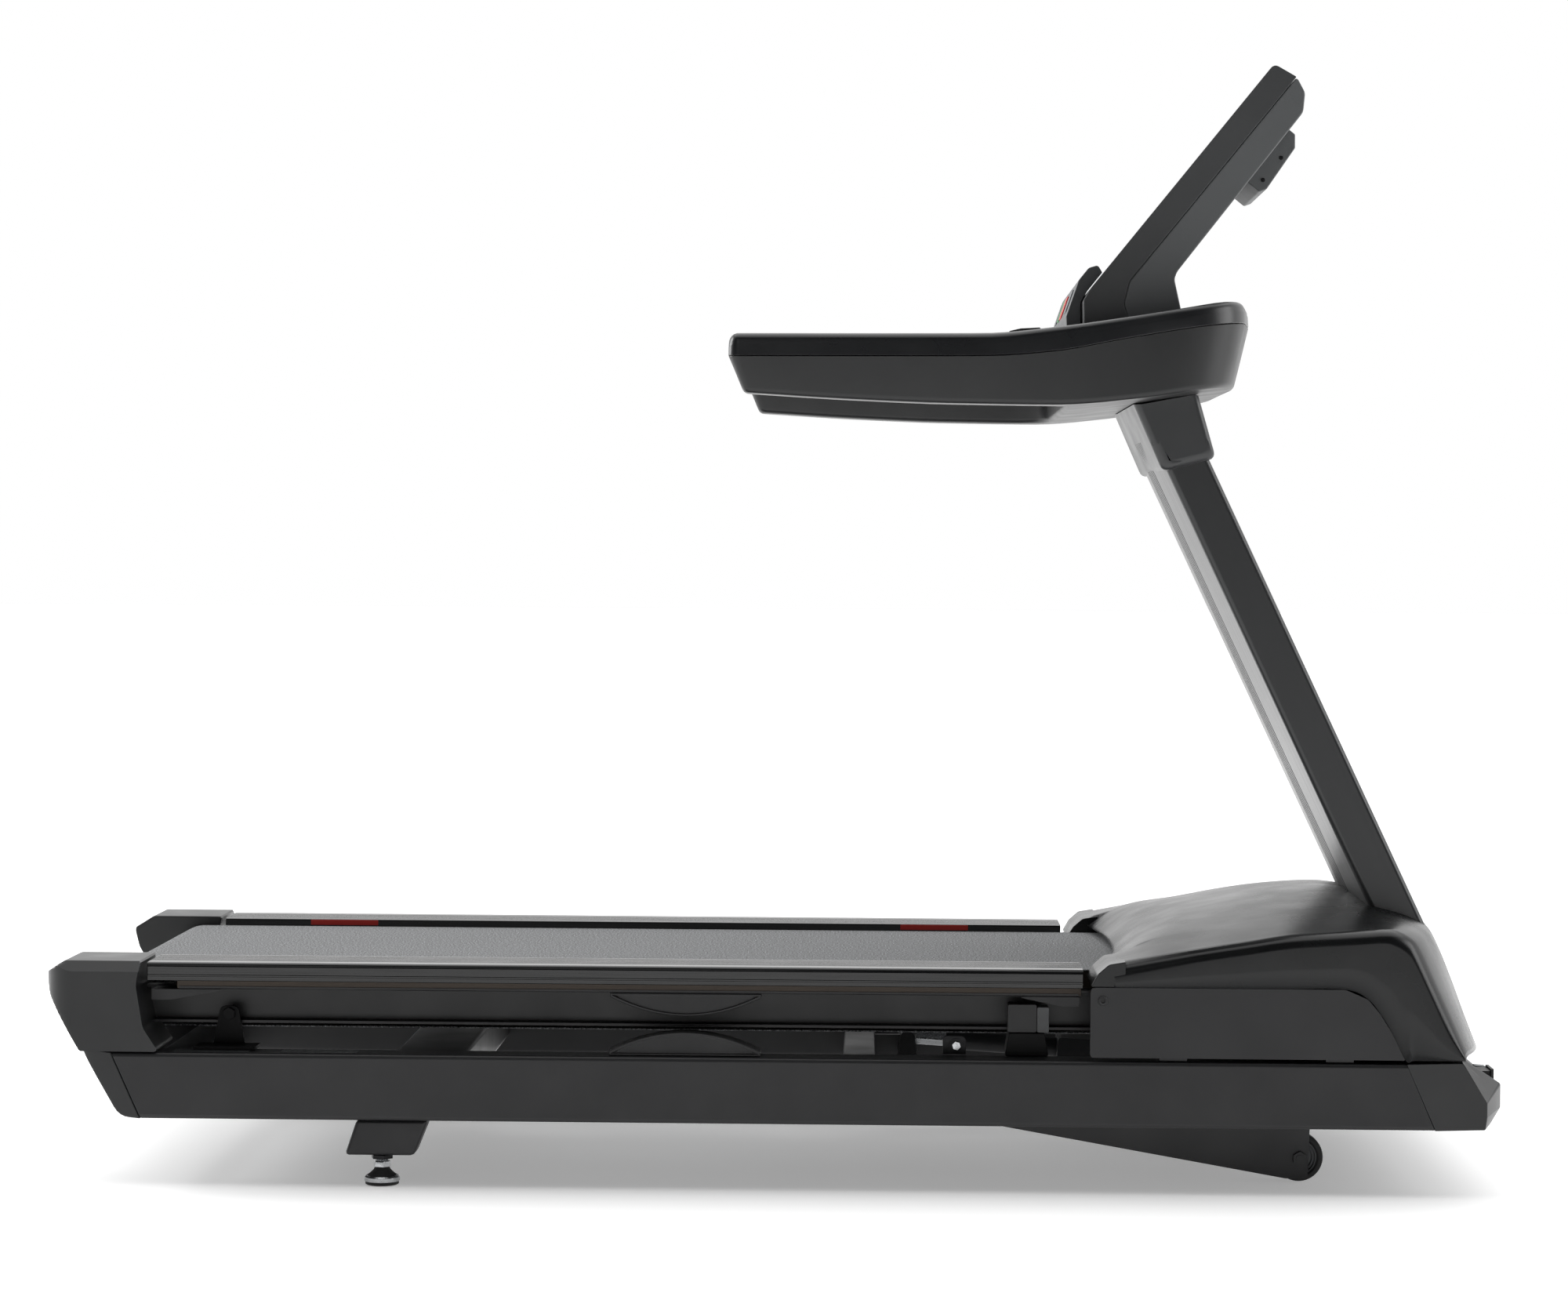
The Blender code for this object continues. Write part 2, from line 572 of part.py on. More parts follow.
# ------------------------------------------------------------------ deck
def build_deck_members():
    """Channels along both sides of the deck, tied by the motor plate and the roller shafts."""
    for name, side, low, high in both_sides(MEMBER_IN, MEMBER_IN + FLANGE):
        web = low if side > 0 else high
        inward = web + side * PLATE
        edge = web + side * FLANGE
        channel = [(web, MEMBER_BOTTOM), (edge, MEMBER_BOTTOM), (edge, MEMBER_BOTTOM + PLATE),
                   (inward, MEMBER_BOTTOM + PLATE), (inward, MEMBER_TOP - PLATE),
                   (edge, MEMBER_TOP - PLATE), (edge, MEMBER_TOP), (web, MEMBER_TOP)]
        member = add_part(f"deck_member_{name}", prism(channel, MEMBER_REAR, MEMBER_FRONT, "YZ"),
                          "frame")
        for x, z, radius in ((REAR_ROLLER_X, ROLLER_Z, SHAFT_RADIUS + GAP),
                             (FRONT_ROLLER_X, ROLLER_Z, SHAFT_RADIUS + GAP),
                             (DECK_PIVOT_X, DECK_PIVOT_Z, 0.008 + GAP)):
            cut(member, bar((x, web - 0.01, z), (x, web + 0.01, z), radius))


def build_deck_board():
    """The laminated board that the belt slides over, narrower where it enters the hood."""
    wide, narrow = RAIL_OUT - 0.010, RAIL_IN - 0.006
    rear, step_x, front = TAIL + 0.190, RAIL_FRONT - 0.002, FRONT_ROLLER_X - 0.065
    outline = [(rear, -wide), (step_x, -wide), (step_x, -narrow), (front, -narrow),
               (front, narrow), (step_x, narrow), (step_x, wide), (rear, wide)]
    add_part("deck_board", prism(outline, BOARD_BOTTOM, BOARD_TOP, "XY"), "board")


def build_belt():
    """The running belt, one endless loop round the two rollers."""
    inner = ROLLER_RADIUS + GAP
    loop = slot_outline(REAR_ROLLER_X, FRONT_ROLLER_X, ROLLER_Z, inner + BELT_THICK, 18)
    inside = slot_outline(REAR_ROLLER_X, FRONT_ROLLER_X, ROLLER_Z, inner, 18)
    smooth(add_part("running_belt", prism(loop, -BELT_HALF, BELT_HALF, "XZ", [inside]), "belt"))


def build_foot_rails():
    """Ribbed side rails that clip over the board's edges."""
    skirt = RAIL_TOP - 0.027
    ribs = 6
    for name, side, low, high in both_sides(RAIL_IN, RAIL_OUT):
        inside, outside = side * RAIL_IN, side * RAIL_OUT
        profile = [(inside, BOARD_TOP + GAP), (inside, RAIL_TOP - 0.002),
                   (inside + side * 0.002, RAIL_TOP)]
        pitch = (RAIL_WIDTH - 0.024) / ribs
        for rib in range(ribs):
            start = inside + side * (0.010 + rib * pitch)
            profile += [(start, RAIL_TOP), (start + side * 0.0015, RAIL_TOP - 0.0012),
                        (start + side * 0.004, RAIL_TOP - 0.0012),
                        (start + side * 0.0055, RAIL_TOP)]
        profile += [(outside - side * 0.005, RAIL_TOP), (outside, RAIL_TOP - 0.005),
                    (outside, skirt), (outside - side * (0.010 - GAP), skirt),
                    (outside - side * (0.010 - GAP), BOARD_TOP + GAP)]
        rail = add_part(f"foot_rail_{name}", prism(profile, RAIL_REAR, RAIL_FRONT, "YZ"), "rail")
        smooth(rail, 20)


def build_roller(name, x, pulley=False):
    """A steel roller tube with bored end walls, one end drawn out into the drive pulley."""
    half = BELT_HALF - 0.004
    wall, bore = 0.005, SHAFT_RADIUS + GAP
    cavity = ROLLER_RADIUS - wall
    end = 0.012
    far_end = [(bore, -half)]
    if pulley:
        neck = ROLLER_PULLEY_RADIUS - 0.010
        far_end = [(neck, -half), (neck, -PULLEY_IN), (ROLLER_PULLEY_RADIUS, -PULLEY_IN),
                   (ROLLER_PULLEY_RADIUS, -PULLEY_OUT), (bore, -PULLEY_OUT)]
    profile = [
        (bore, half), (ROLLER_RADIUS - 0.002, half), (ROLLER_RADIUS, half - 0.002),
        (ROLLER_RADIUS, -half + 0.002), (ROLLER_RADIUS - 0.002, -half), *far_end,
        (bore, -half + end), (cavity, -half + end), (cavity, half - end), (bore, half - end)]
    smooth(turned(name, profile, (x, 0, ROLLER_Z), "Y", "steel", 28))


def build_rollers():
    """Both rollers and the fixed shafts that they turn on."""
    build_roller("drive_roller", FRONT_ROLLER_X, pulley=True)
    build_roller("idler_roller", REAR_ROLLER_X)
    reach = MEMBER_IN + PLATE + 0.012
    for name, x in (("drive_shaft", FRONT_ROLLER_X), ("idler_shaft", REAR_ROLLER_X)):
        smooth(add_part(name, bar((x, -reach, ROLLER_Z), (x, reach, ROLLER_Z), SHAFT_RADIUS),
                        "steel"))


def build_drive():
    """Motor on its plate, flywheel and pulley on its shaft, and the ribbed drive belt."""
    half = 0.095
    foot_z = MEMBER_BOTTOM - 0.012
    body = circle((MOTOR_X, MOTOR_Z), MOTOR_RADIUS, 28, math.radians(-40), math.radians(260))
    motor = add_part("drive_motor", prism(
        body + [(MOTOR_X - 0.045, foot_z + PLATE + GAP), (MOTOR_X + 0.045, foot_z + PLATE + GAP)],
        -half, half + 0.08), "motor")
    bevel(motor, 0.004, 2, 60)
    smooth(motor)
    reach = MEMBER_IN + FLANGE
    add_part("motor_plate", prism(rounded(
        [(FRONT_ROLLER_X + 0.065, -reach), (NOSE - 0.192, -reach), (NOSE - 0.192, reach),
         (FRONT_ROLLER_X + 0.065, reach)], 0.01, 3), foot_z, foot_z + PLATE, "XY"), "steel")
    cheek = 0.010
    wheel_in, wheel_out = half + 0.033, half + 0.070
    cut(bpy.data.objects["motor_plate"],
        block((MOTOR_X - 0.066, -wheel_out - 0.006, foot_z - 0.01),
              (MOTOR_X + 0.066, -wheel_in + 0.006, foot_z + 0.01)))
    for name, side, low, high in both_sides(MEMBER_IN, reach):
        join(bpy.data.objects["motor_plate"],
             block((MOTOR_X - 0.07, low + 0.002, foot_z + PLATE / 2),
                   (MOTOR_X + 0.07, high - 0.002, MEMBER_BOTTOM - GAP)))
    rotor = turned("motor_flywheel", [
        (0, PULLEY_OUT), (MOTOR_PULLEY_RADIUS, PULLEY_OUT), (MOTOR_PULLEY_RADIUS, PULLEY_IN),
        (cheek, PULLEY_IN), (cheek, wheel_out), (0.060, wheel_out), (0.062, wheel_out - 0.002),
        (0.062, wheel_in + 0.002), (0.060, wheel_in), (cheek, wheel_in),
        (cheek, half + RUNNING), (0, half + RUNNING)],
        (MOTOR_X, 0, MOTOR_Z), "Y", "motor", 28)
    rotor.rotation_euler = (math.pi / 2, 0, 0)
    smooth(rotor)
    build_drive_belt()


def build_drive_belt():
    """A flat ribbed belt wrapped round the roller pulley and the motor pulley."""
    big = Vector((FRONT_ROLLER_X, ROLLER_Z))
    small = Vector((MOTOR_X, MOTOR_Z))
    span = small - big
    tilt = math.atan2(span.y, span.x)
    thick = 0.004

    def wrap(extra):
        r1, r2 = ROLLER_PULLEY_RADIUS + extra, MOTOR_PULLEY_RADIUS + extra
        lean = math.acos((r1 - r2) / span.length)
        return (circle(small, r2, 12, tilt - lean, 2 * lean)
                + circle(big, r1, 20, tilt + lean, math.tau - 2 * lean))

    smooth(add_part("drive_belt", prism(wrap(GAP + thick), -PULLEY_OUT + 0.002,
                                        -PULLEY_IN - 0.002, "XZ", [wrap(GAP)]), "rubber"))


# ------------------------------------------------------------------ incline lift
def build_lift():
    """The swinging lift frame with its wheels, and the motor and screw tube that drive it."""
    arm_in, arm_out = LIFT_ARM_IN, LIFT_ARM_IN + LIFT_ARM_THICK
    toe = WHEEL_CENTRE
    hole_radius = 0.0127
    outline = rounded([
        (LIFT_PIVOT.x - 0.020, LIFT_PIVOT.z - 0.018), (toe.x - 0.020, 0.006),
        (toe.x + 0.012, 0.008), (toe.x + 0.015, GROUND_GAP - 0.004),
        (NOSE - 0.450, GROUND_GAP - 0.004), (LIFT_PIVOT.x + 0.02, LIFT_PIVOT.z + 0.024),
        (LIFT_PIVOT.x - 0.020, LIFT_PIVOT.z + 0.020)], [0.018, 0.02, 0.004, 0.005, 0.03, 0.02, 0.018])
    frame = add_part("lift_frame", prism(outline, -arm_out, -arm_in), "frame", LIFT_PIVOT)
    join(frame, bar((LIFT_PIVOT.x, -arm_out + 0.002, LIFT_PIVOT.z),
                    (LIFT_PIVOT.x, arm_out - 0.002, LIFT_PIVOT.z), hole_radius))
    join(frame, prism(outline, arm_in, arm_out))
    stay_x = toe.x - 0.075
    stay_z = 0.042
    join(frame, bar((stay_x, -arm_out + 0.002, stay_z), (stay_x, arm_out - 0.002, stay_z), 0.014))
    for low in (-0.0125, 0.0065):
        join(frame, prism(
            circle((LIFT_PIVOT.x, LIFT_PIVOT.z), 0.018, 12, math.pi, math.pi)
            + circle((LIFT_PIN.x, LIFT_PIN.z), 0.011, 12, 0, math.pi), low, low + 0.006))
    join(frame, bar((LIFT_PIN.x, -0.010, LIFT_PIN.z), (LIFT_PIN.x, 0.010, LIFT_PIN.z),
                    PIN_RADIUS, 16))
    axle_in = WHEEL_OUT - WHEEL_WIDTH - 0.006
    for side in (-1, 1):
        join(frame, bar((toe.x, side * axle_in, toe.z), (toe.x, side * (arm_out + 0.007), toe.z),
                        0.006, 16))
        join(frame, bar((toe.x, side * (arm_out - 0.002), toe.z),
                        (toe.x, side * (arm_out + 0.006), toe.z), 0.011, 6))
        wheel = turned("lift_wheel_" + ("right" if side < 0 else "left"), [
            (0.006 + GAP, WHEEL_WIDTH / 2), (0.014, WHEEL_WIDTH / 2), (0.016, WHEEL_WIDTH / 2 - 0.003),
            (0.024, WHEEL_WIDTH / 2 - 0.003), (0.026, WHEEL_WIDTH / 2),
            (WHEEL_RADIUS - 0.003, WHEEL_WIDTH / 2), (WHEEL_RADIUS, WHEEL_WIDTH / 2 - 0.003),
            (WHEEL_RADIUS, -WHEEL_WIDTH / 2 + 0.003), (WHEEL_RADIUS - 0.003, -WHEEL_WIDTH / 2),
            (0.026, -WHEEL_WIDTH / 2), (0.024, -WHEEL_WIDTH / 2 + 0.003),
            (0.016, -WHEEL_WIDTH / 2 + 0.003), (0.014, -WHEEL_WIDTH / 2),
            (0.006 + GAP, -WHEEL_WIDTH / 2)],
            (toe.x, side * (WHEEL_OUT - WHEEL_WIDTH / 2), toe.z), "Y", "rubber", 24)
        smooth(wheel)
    smooth(frame)
    build_actuator()


def build_actuator():
    """The lift motor on its pivot, and the screw tube that it draws in."""
    pull = (LIFT_MOTOR_PIVOT - LIFT_PIN).normalized()
    tube_end = LIFT_PIN + pull * 0.160
    up = Vector((-pull.z, 0, pull.x))
    motor = add_part("lift_motor", bar(LIFT_PIN + pull * 0.060, LIFT_MOTOR_PIVOT - pull * 0.030,
                                       0.015), "motor", LIFT_MOTOR_PIVOT)
    neck = [LIFT_MOTOR_PIVOT - pull * d + up * h
            for d, h in ((0.030, -0.010), (0.0, -0.010), (0.0, 0.010), (0.030, 0.010))]
    join(motor, prism([(p.x, p.z) for p in neck], -0.0138, 0.0138))
    gear = [LIFT_MOTOR_PIVOT - pull * d + up * h
            for d, h in ((0.170, -0.022), (0.024, -0.022), (0.024, 0.022), (0.170, 0.022))]
    join(motor, prism(rounded([(p.x, p.z) for p in gear], 0.006), -0.055, 0.035))
    join(motor, bar(LIFT_MOTOR_PIVOT - Vector((0, 0.014, 0)),
                    LIFT_MOTOR_PIVOT + Vector((0, 0.014, 0)), 0.014))
    bore = bar(LIFT_PIN + pull * 0.050, LIFT_PIN + pull * 0.195, 0.0105 + GAP)
    cut(motor, bore)
    cut(motor, bar(LIFT_MOTOR_PIVOT - Vector((0, 0.02, 0)),
                   LIFT_MOTOR_PIVOT + Vector((0, 0.02, 0)), 0.006 + GAP, 20))
    smooth(motor)
    eye = PIN_RADIUS + 0.0013
    lean = math.atan2(pull.z, pull.x)
    neck = [LIFT_PIN + pull * 0.022 + up * h for h in (-0.008, 0.008)]
    tube = add_part("lift_screw_tube", prism(
        circle((LIFT_PIN.x, LIFT_PIN.z), 0.0105, 18, lean + math.pi / 2, math.pi)
        + [(p.x, p.z) for p in neck], -0.0060, 0.0060), "steel", LIFT_PIN)
    join(tube, bar(LIFT_PIN + pull * 0.0140, tube_end, 0.0105))
    cut(tube, bar(LIFT_PIN - Vector((0, 0.02, 0)), LIFT_PIN + Vector((0, 0.02, 0)), eye, 24))
    smooth(tube)
    bracket_x = NOSE - 0.478
    weld_x = NOSE - 0.188
    carrier = bpy.data.objects["front_crossmember"]
    join(carrier, prism(rounded(
        [(bracket_x, GROUND_GAP + 0.010), (weld_x, GROUND_GAP + 0.014), (weld_x, GROUND_GAP + 0.032),
         (LIFT_MOTOR_PIVOT.x + 0.03, GROUND_GAP + 0.032),
         (LIFT_MOTOR_PIVOT.x + 0.014, LIFT_MOTOR_PIVOT.z + 0.014),
         (LIFT_MOTOR_PIVOT.x - 0.014, LIFT_MOTOR_PIVOT.z + 0.014)],
        [0.004, 0, 0, 0.01, 0.012, 0.012]), 0.0145 + GAP, 0.0205 + GAP))
    join(carrier, prism([(bracket_x, GROUND_GAP + 0.010), (weld_x, GROUND_GAP + 0.014),
                         (weld_x, GROUND_GAP + 0.020), (bracket_x, GROUND_GAP + 0.016)], -0.05, 0.05))
    join(carrier, bar(LIFT_MOTOR_PIVOT + Vector((0, -0.016, 0)),
                      LIFT_MOTOR_PIVOT + Vector((0, 0.018, 0)), 0.006, 20))


# ------------------------------------------------------------------ hood
def crown_share(y):
    """How far across the hood's crown a point is, 1 at the centre and 0 at the shoulder."""
    return 1 - (min(abs(y), HOOD_HALF - 0.022) / (HOOD_HALF - 0.022)) ** 2.2


def build_hood():
    """The motor hood: a crowned shell lofted from its rear lip to its nose."""
    low_edge = TUBE_TOP + 0.107
    foot = TUBE_TOP + 0.005
    stations = [
        # side x, wall foot, wall top, centre x, centre top: x back from the nose, tops above
        # the side tubes
        (0.5665, low_edge, 0.1405, 0.547, 0.129), (0.530, low_edge, 0.1475, 0.515, 0.158),
        (0.485, low_edge, 0.156, 0.460, 0.181), (0.444, low_edge, 0.164, 0.410, 0.1925),
        (0.380, low_edge, 0.174, 0.355, 0.206), (0.314, low_edge, 0.184, 0.290, 0.2155),
        (0.2335, low_edge, 0.1895, 0.220, 0.221), (0.201, low_edge - 0.014, 0.1918, 0.175, 0.2165),
        (0.1835, low_edge - 0.035, 0.193, 0.140, 0.207), (0.167, low_edge - 0.061, 0.191, 0.110, 0.196),
        (0.1465, foot, 0.1795, 0.080, 0.1785), (0.134, foot, 0.163, 0.062, 0.146),
        (0.110, foot, 0.113, 0.042, 0.096), (0.085, foot, 0.061, 0.024, 0.046),
        (0.060, foot, 0.0115, 0.008, 0.0045)]
    shoulder = HOOD_HALF - 0.022
    across = [shoulder * t for t in (1, 0.94, 0.86)] + [RAIL_IN + 0.003, RAIL_IN - 0.001]
    across += [RAIL_IN * t for t in (0.85, 0.68, 0.5, 0.3, 0.15)]
    verts, rows = [], []
    for index, (back, wall_foot, wall_rise, mid_back, mid_rise) in enumerate(stations):
        wall_top, mid_top = TUBE_TOP + wall_rise, TUBE_TOP + mid_rise
        half = [(HOOD_HALF, wall_foot), (HOOD_HALF, max(wall_top - 0.020, wall_foot + 0.001)),
                (HOOD_HALF - 0.004, max(wall_top - 0.008, wall_foot + 0.0015)),
                (HOOD_HALF - 0.012, wall_top - 0.0015)]
        for y in across:
            share = crown_share(y)
            if index == 0:
                share = 1.0 if y < RAIL_IN else 0.0
            elif index == 1:
                share = max(share, 0.5)
            half.append((y, wall_top + (mid_top - wall_top) * share))
        line = half + [(0.0, mid_top)] + [(-y, z) for y, z in reversed(half)]
        row = []
        for y, z in line:
            ratio = min(abs(y) / HOOD_HALF, 1)
            if index < 3:
                bow = max(0.0, 1 - (abs(y) / RAIL_IN) ** 2)
            else:
                bow = 1 - ratio ** 3
            x = NOSE - back + (back - mid_back) * bow
            row.append(len(verts))
            verts.append((x, -y, z))
        rows.append(row)
    faces = []
    for row, after in zip(rows, rows[1:]):
        for i in range(len(row) - 1):
            faces.append((row[i], row[i + 1], after[i + 1], after[i]))
    mesh = bpy.data.meshes.new("motor_hood")
    mesh.from_pydata(verts, [], faces)
    work = bmesh.new()
    work.from_mesh(mesh)
    bmesh.ops.recalc_face_normals(work, faces=work.faces)
    if sum(face.normal.z for face in work.faces) < 0:
        bmesh.ops.reverse_faces(work, faces=work.faces)
    work.to_mesh(mesh)
    work.free()
    hood = add_part("motor_hood", mesh, "hood")
    skin = hood.modifiers.new("Solidify", "SOLIDIFY")
    skin.thickness = SHELL
    skin.offset = -1
    skin.use_even_offset = True
    for name, side, low, high in both_sides(RAIL_IN, HOOD_HALF - 0.0005):
        join(hood, prism(rounded(
            [(HOOD_REAR, low_edge + 0.0005), (NOSE - 0.5500, low_edge + 0.0005),
             (NOSE - 0.5500, TUBE_TOP + 0.142), (NOSE - 0.5745, TUBE_TOP + 0.139),
             (NOSE - 0.590, TUBE_TOP + 0.126)],
            [0.002, 0, 0, 0.01, 0.01], 3), low, high))
    cut(hood, mast_section(GAP + 0.0007, -0.04, 0.40))
    smooth(hood, 30)
    build_side_panels(low_edge - GAP, foot)


def build_side_panels(top, foot):
    """Lower side panels under the hood's walls, each backed by the bracket that holds it."""
    for name, side, low, high in both_sides(HOOD_HALF - SHELL, HOOD_HALF):
        outline = rounded([
            (HOOD_REAR, foot), (HOOD_REAR, top), (NOSE - 0.2335, top), (NOSE - 0.201, top - 0.014),
            (NOSE - 0.1835, top - 0.035), (NOSE - 0.167, top - 0.061), (NOSE - 0.1465 - GAP, foot)],
            [0.006, 0.008, 0.02, 0.01, 0, 0, 0.002])
        panel = add_part(f"side_panel_{name}", prism(outline, low, high), "hood")
        inside = low if side > 0 else high
        for back, rise in ((0.50, foot + 0.03), (0.26, foot + 0.06)):
            for near, far, base in ((0.0060, 0.014, TUBE_TOP + GAP), (-0.0005, 0.0065, foot + 0.008)):
                wall = sorted((inside - side * near, inside - side * far))
                join(panel, block((NOSE - back, wall[0], base), (NOSE - back + 0.04, wall[1], rise)))
        smooth(panel)


def build_belly_pan():
    """The folded pan that closes the motor bay underneath and at the nose."""
    reach = TUBE_IN - GAP
    top, fold = TUBE_TOP - 0.0055, GROUND_GAP + 0.0325
    sheet = 0.0025
    face, rear = NOSE - 0.006, NOSE - 0.42
    outer = rounded([(rear, GROUND_GAP), (NOSE - 0.030, GROUND_GAP), (face, fold), (face, top)],
                    [0, 0.03, 0.02, 0])
    inner = rounded([(face - sheet, top), (face - sheet, fold + 0.001),
                     (NOSE - 0.031, GROUND_GAP + sheet), (rear, GROUND_GAP + sheet)],
                    [0, 0.018, 0.028, 0])
    smooth(add_part("belly_pan", prism(outer + inner, -reach, reach), "frame"))


def build_electrics():
    """The motor controller on the pan, the power inlet and its rocker switch in the nose."""
    floor_z = GROUND_GAP + 0.0025 + GAP
    box = add_part("motor_controller", block((NOSE - 0.40, 0.08, floor_z),
                                             (NOSE - 0.21, 0.24, floor_z + 0.045)), "motor")
    bevel(box, 0.004)
    x = NOSE - 0.006
    pan = bpy.data.objects["belly_pan"]
    low, high = GROUND_GAP + 0.0395, GROUND_GAP + 0.0755
    for name, y0, y1 in (("power_inlet", -0.300, -0.250), ("switch", -0.235, -0.205)):
        cut(pan, block((x - 0.02, y0 + 0.003, low + 0.003), (x + 0.02, y1 - 0.003, high - 0.003)))
    inlet = add_part("power_inlet", block((x + GAP, -0.300, low), (x + 0.005, -0.250, high)), "rubber")
    join(inlet, block((x - 0.030, -0.297 + GAP, low + 0.003 + GAP),
                      (x + 0.002, -0.253 - GAP, high - 0.003 - GAP)))
    cut(inlet, block((x - 0.022, -0.288, low + 0.008), (x + 0.010, -0.262, high - 0.008)))
    rocker_y = -0.220
    centre = Vector((x - 0.012, rocker_y, (low + high) / 2))
    add_part("power_switch", prism(
        [(x - 0.012, low + 0.0045), (x + 0.004, low + 0.0055), (x + 0.0005, centre.z),
         (x + 0.004, high - 0.0055), (x - 0.012, high - 0.0045)],
        rocker_y - 0.0105, rocker_y + 0.0105), "button", centre)


# ------------------------------------------------------------------ mast
def mast_section(extra, start, end):
    """Return the mast's cross-section extruded along its lean, grown by extra all round."""
    along = (MAST_HEAD - MAST_FOOT).normalized()
    length = (MAST_HEAD - MAST_FOOT).length
    half = MAST_HALF_WIDTH + extra
    depth = MAST_DEPTH / 2 + extra
    steps = 10
    flat = half - MAST_CORNER
    front = [(depth + MAST_CROWN * (1 - (1 - 2 * i / steps) ** 2), flat * (2 * i / steps - 1))
             for i in range(steps + 1)]
    edge = depth - 0.8 * MAST_CORNER
    side = [(edge, -half), *front, (edge, half)]
    outline = side + [(-u, v) for u, v in side[::-1]]
    mesh = prism(outline, start, length + end if extra else length, "XY")
    lean = Matrix((((along.z), 0, along.x, 0), (0, 1, 0, 0), (-along.x, 0, along.z, 0), (0, 0, 0, 1)))
    middle = MAST_FOOT + Vector((along.z, 0, -along.x)) * (MAST_DEPTH / 2)
    mesh.transform(Matrix.Translation(middle) @ lean)
    return mesh


def build_mast():
    """The wide hollow extrusion and the moulded collar round its head."""
    mast = add_part("mast", mast_section(0, 0, 0), "mast")
    along = (MAST_HEAD - MAST_FOOT).normalized()
    square = Vector((along.z, 0, -along.x))
    mid = MAST_FOOT + square * (MAST_DEPTH / 2)
    half = MAST_HALF_WIDTH - MAST_CORNER - MAST_WALL / 2
    depth = MAST_DEPTH / 2 - MAST_WALL
    start, end = mid - along * 0.01, mid + along * ((MAST_HEAD - MAST_FOOT).length + 0.01)
    corners = [start + square * depth, end + square * depth, end - square * depth,
               start - square * depth]
    for low, high in ((-half, -half * 0.34), (-half * 0.30, half * 0.30), (half * 0.34, half)):
        cut(mast, prism([(p.x, p.z) for p in corners], low, high))
    smooth(mast, 20)
    width = MAST_HALF_WIDTH + 0.015
    base = CONSOLE_DATUM - 0.5
    rear_top, front_top = NOSE - 0.533, NOSE - 0.436
    collar = add_part("mast_collar", prism(rounded([
        (rear_top, under_console(rear_top) - GAP), (NOSE - 0.489, base - 0.101),
        (NOSE - 0.409, base - 0.081), (front_top, under_console(front_top) - GAP)],
        [0, 0.010, 0.010, 0]), -width, width), "console")
    bevel(collar, 0.008, 2, 60)
    cut(collar, mast_section(GAP, (MAST_HEAD - MAST_FOOT).length - 0.12, GAP))
    smooth(collar)


# ------------------------------------------------------------------ console
def console_lines():
    """Return the console's underside, seam and top as lines of (x, z)."""
    def place(points):
        return [(NOSE - back, CONSOLE_DATUM - drop) for back, drop in points]
    under = place([(1.12, 0.495), (0.96, 0.502), (0.80, 0.510), (0.66, 0.510), (0.533, 0.500),
                   (0.436, 0.4865), (0.34, 0.476)])
    seam = place([(1.15, 0.442), (0.76, 0.440), (0.66, 0.433), (0.56, 0.415), (0.46, 0.398),
                  (0.34, 0.383)])
    top = place([(1.15, 0.409), (0.76, 0.407), (0.66, 0.398), (0.56, 0.384), (0.48, 0.371),
                 (0.40, 0.357), (0.34, 0.352)])
    return under, seam, top


def under_console(x):
    """Height of the console's underside at a place along the machine."""
    return between(console_lines()[0], x)


def over_console(x):
    """Height of the console's top at a place along the machine."""
    return between(console_lines()[2], x)


def horseshoe(inset, steps=5):
    """Return the console's outline seen from above, drawn in by an inset."""
    rear, front = NOSE - 1.129 + inset, NOSE - 0.360 - inset
    mouth = NOSE - 0.640 + inset
    out, inn = ARM_HALF_SPAN - inset, ARM_HALF_SPAN - ARM_WIDTH + inset
    return rounded([(rear, -out), (front - 0.03, -out), (front, -out * 0.45), (front, out * 0.45),
                    (front - 0.03, out), (rear, out), (rear, inn), (mouth, inn), (mouth, -inn),
                    (rear, -inn)],
                   [0.016, 0.11, 0.25, 0.25, 0.11, 0.016, 0.016, 0.10, 0.10, 0.016], steps)


def console_shell(name, low_line, high_line, open_up):
    """Add half of the console: a shell between two lines, open towards the other half."""
    rear, front = NOSE - 1.129, NOSE - 0.34
    slant = 0.021
    shell = add_part(name, prism(horseshoe(0), CONSOLE_DATUM - 0.60, CONSOLE_DATUM - 0.30, "XY"), "console")

    def side_view(lift_low, lift_high, pinch):
        low = [(max(x, rear + pinch), z + lift_low) for x, z in low_line]
        high = [(max(x, rear + pinch), z + lift_high) for x, z in high_line]
        return low + high[::-1]

    keep_inside(shell, prism(side_view(0, 0, slant if open_up else 0), -0.5, 0.5))
    bevel(shell, 0.010 if open_up else 0.008, 2, 50)
    pocket = add_cutter(f"{name}_pocket", prism(horseshoe(SHELL), CONSOLE_DATUM - 0.60, CONSOLE_DATUM - 0.30, "XY"))
    low_lift, high_lift = (SHELL, 0.05) if open_up else (-0.05, -SHELL)
    trim = pocket.modifiers.new("Intersect", "BOOLEAN")
    trim.operation = "INTERSECT"
    trim.solver = "EXACT"
    trim.object = add_cutter(f"{name}_pocket_view",
                             prism(side_view(low_lift, high_lift, 0), -0.5, 0.5))
    step = shell.modifiers.new("Pocket", "BOOLEAN")
    step.solver = "EXACT"
    step.object = pocket
    smooth(shell)
    return shell


def build_console():
    """Lower shell and top cover of the horseshoe console."""
    under, seam, top = console_lines()
    console_shell("console_lower", under, seam, True)
    console_shell("console_top", [(x, z + GAP) for x, z in seam], top, False)


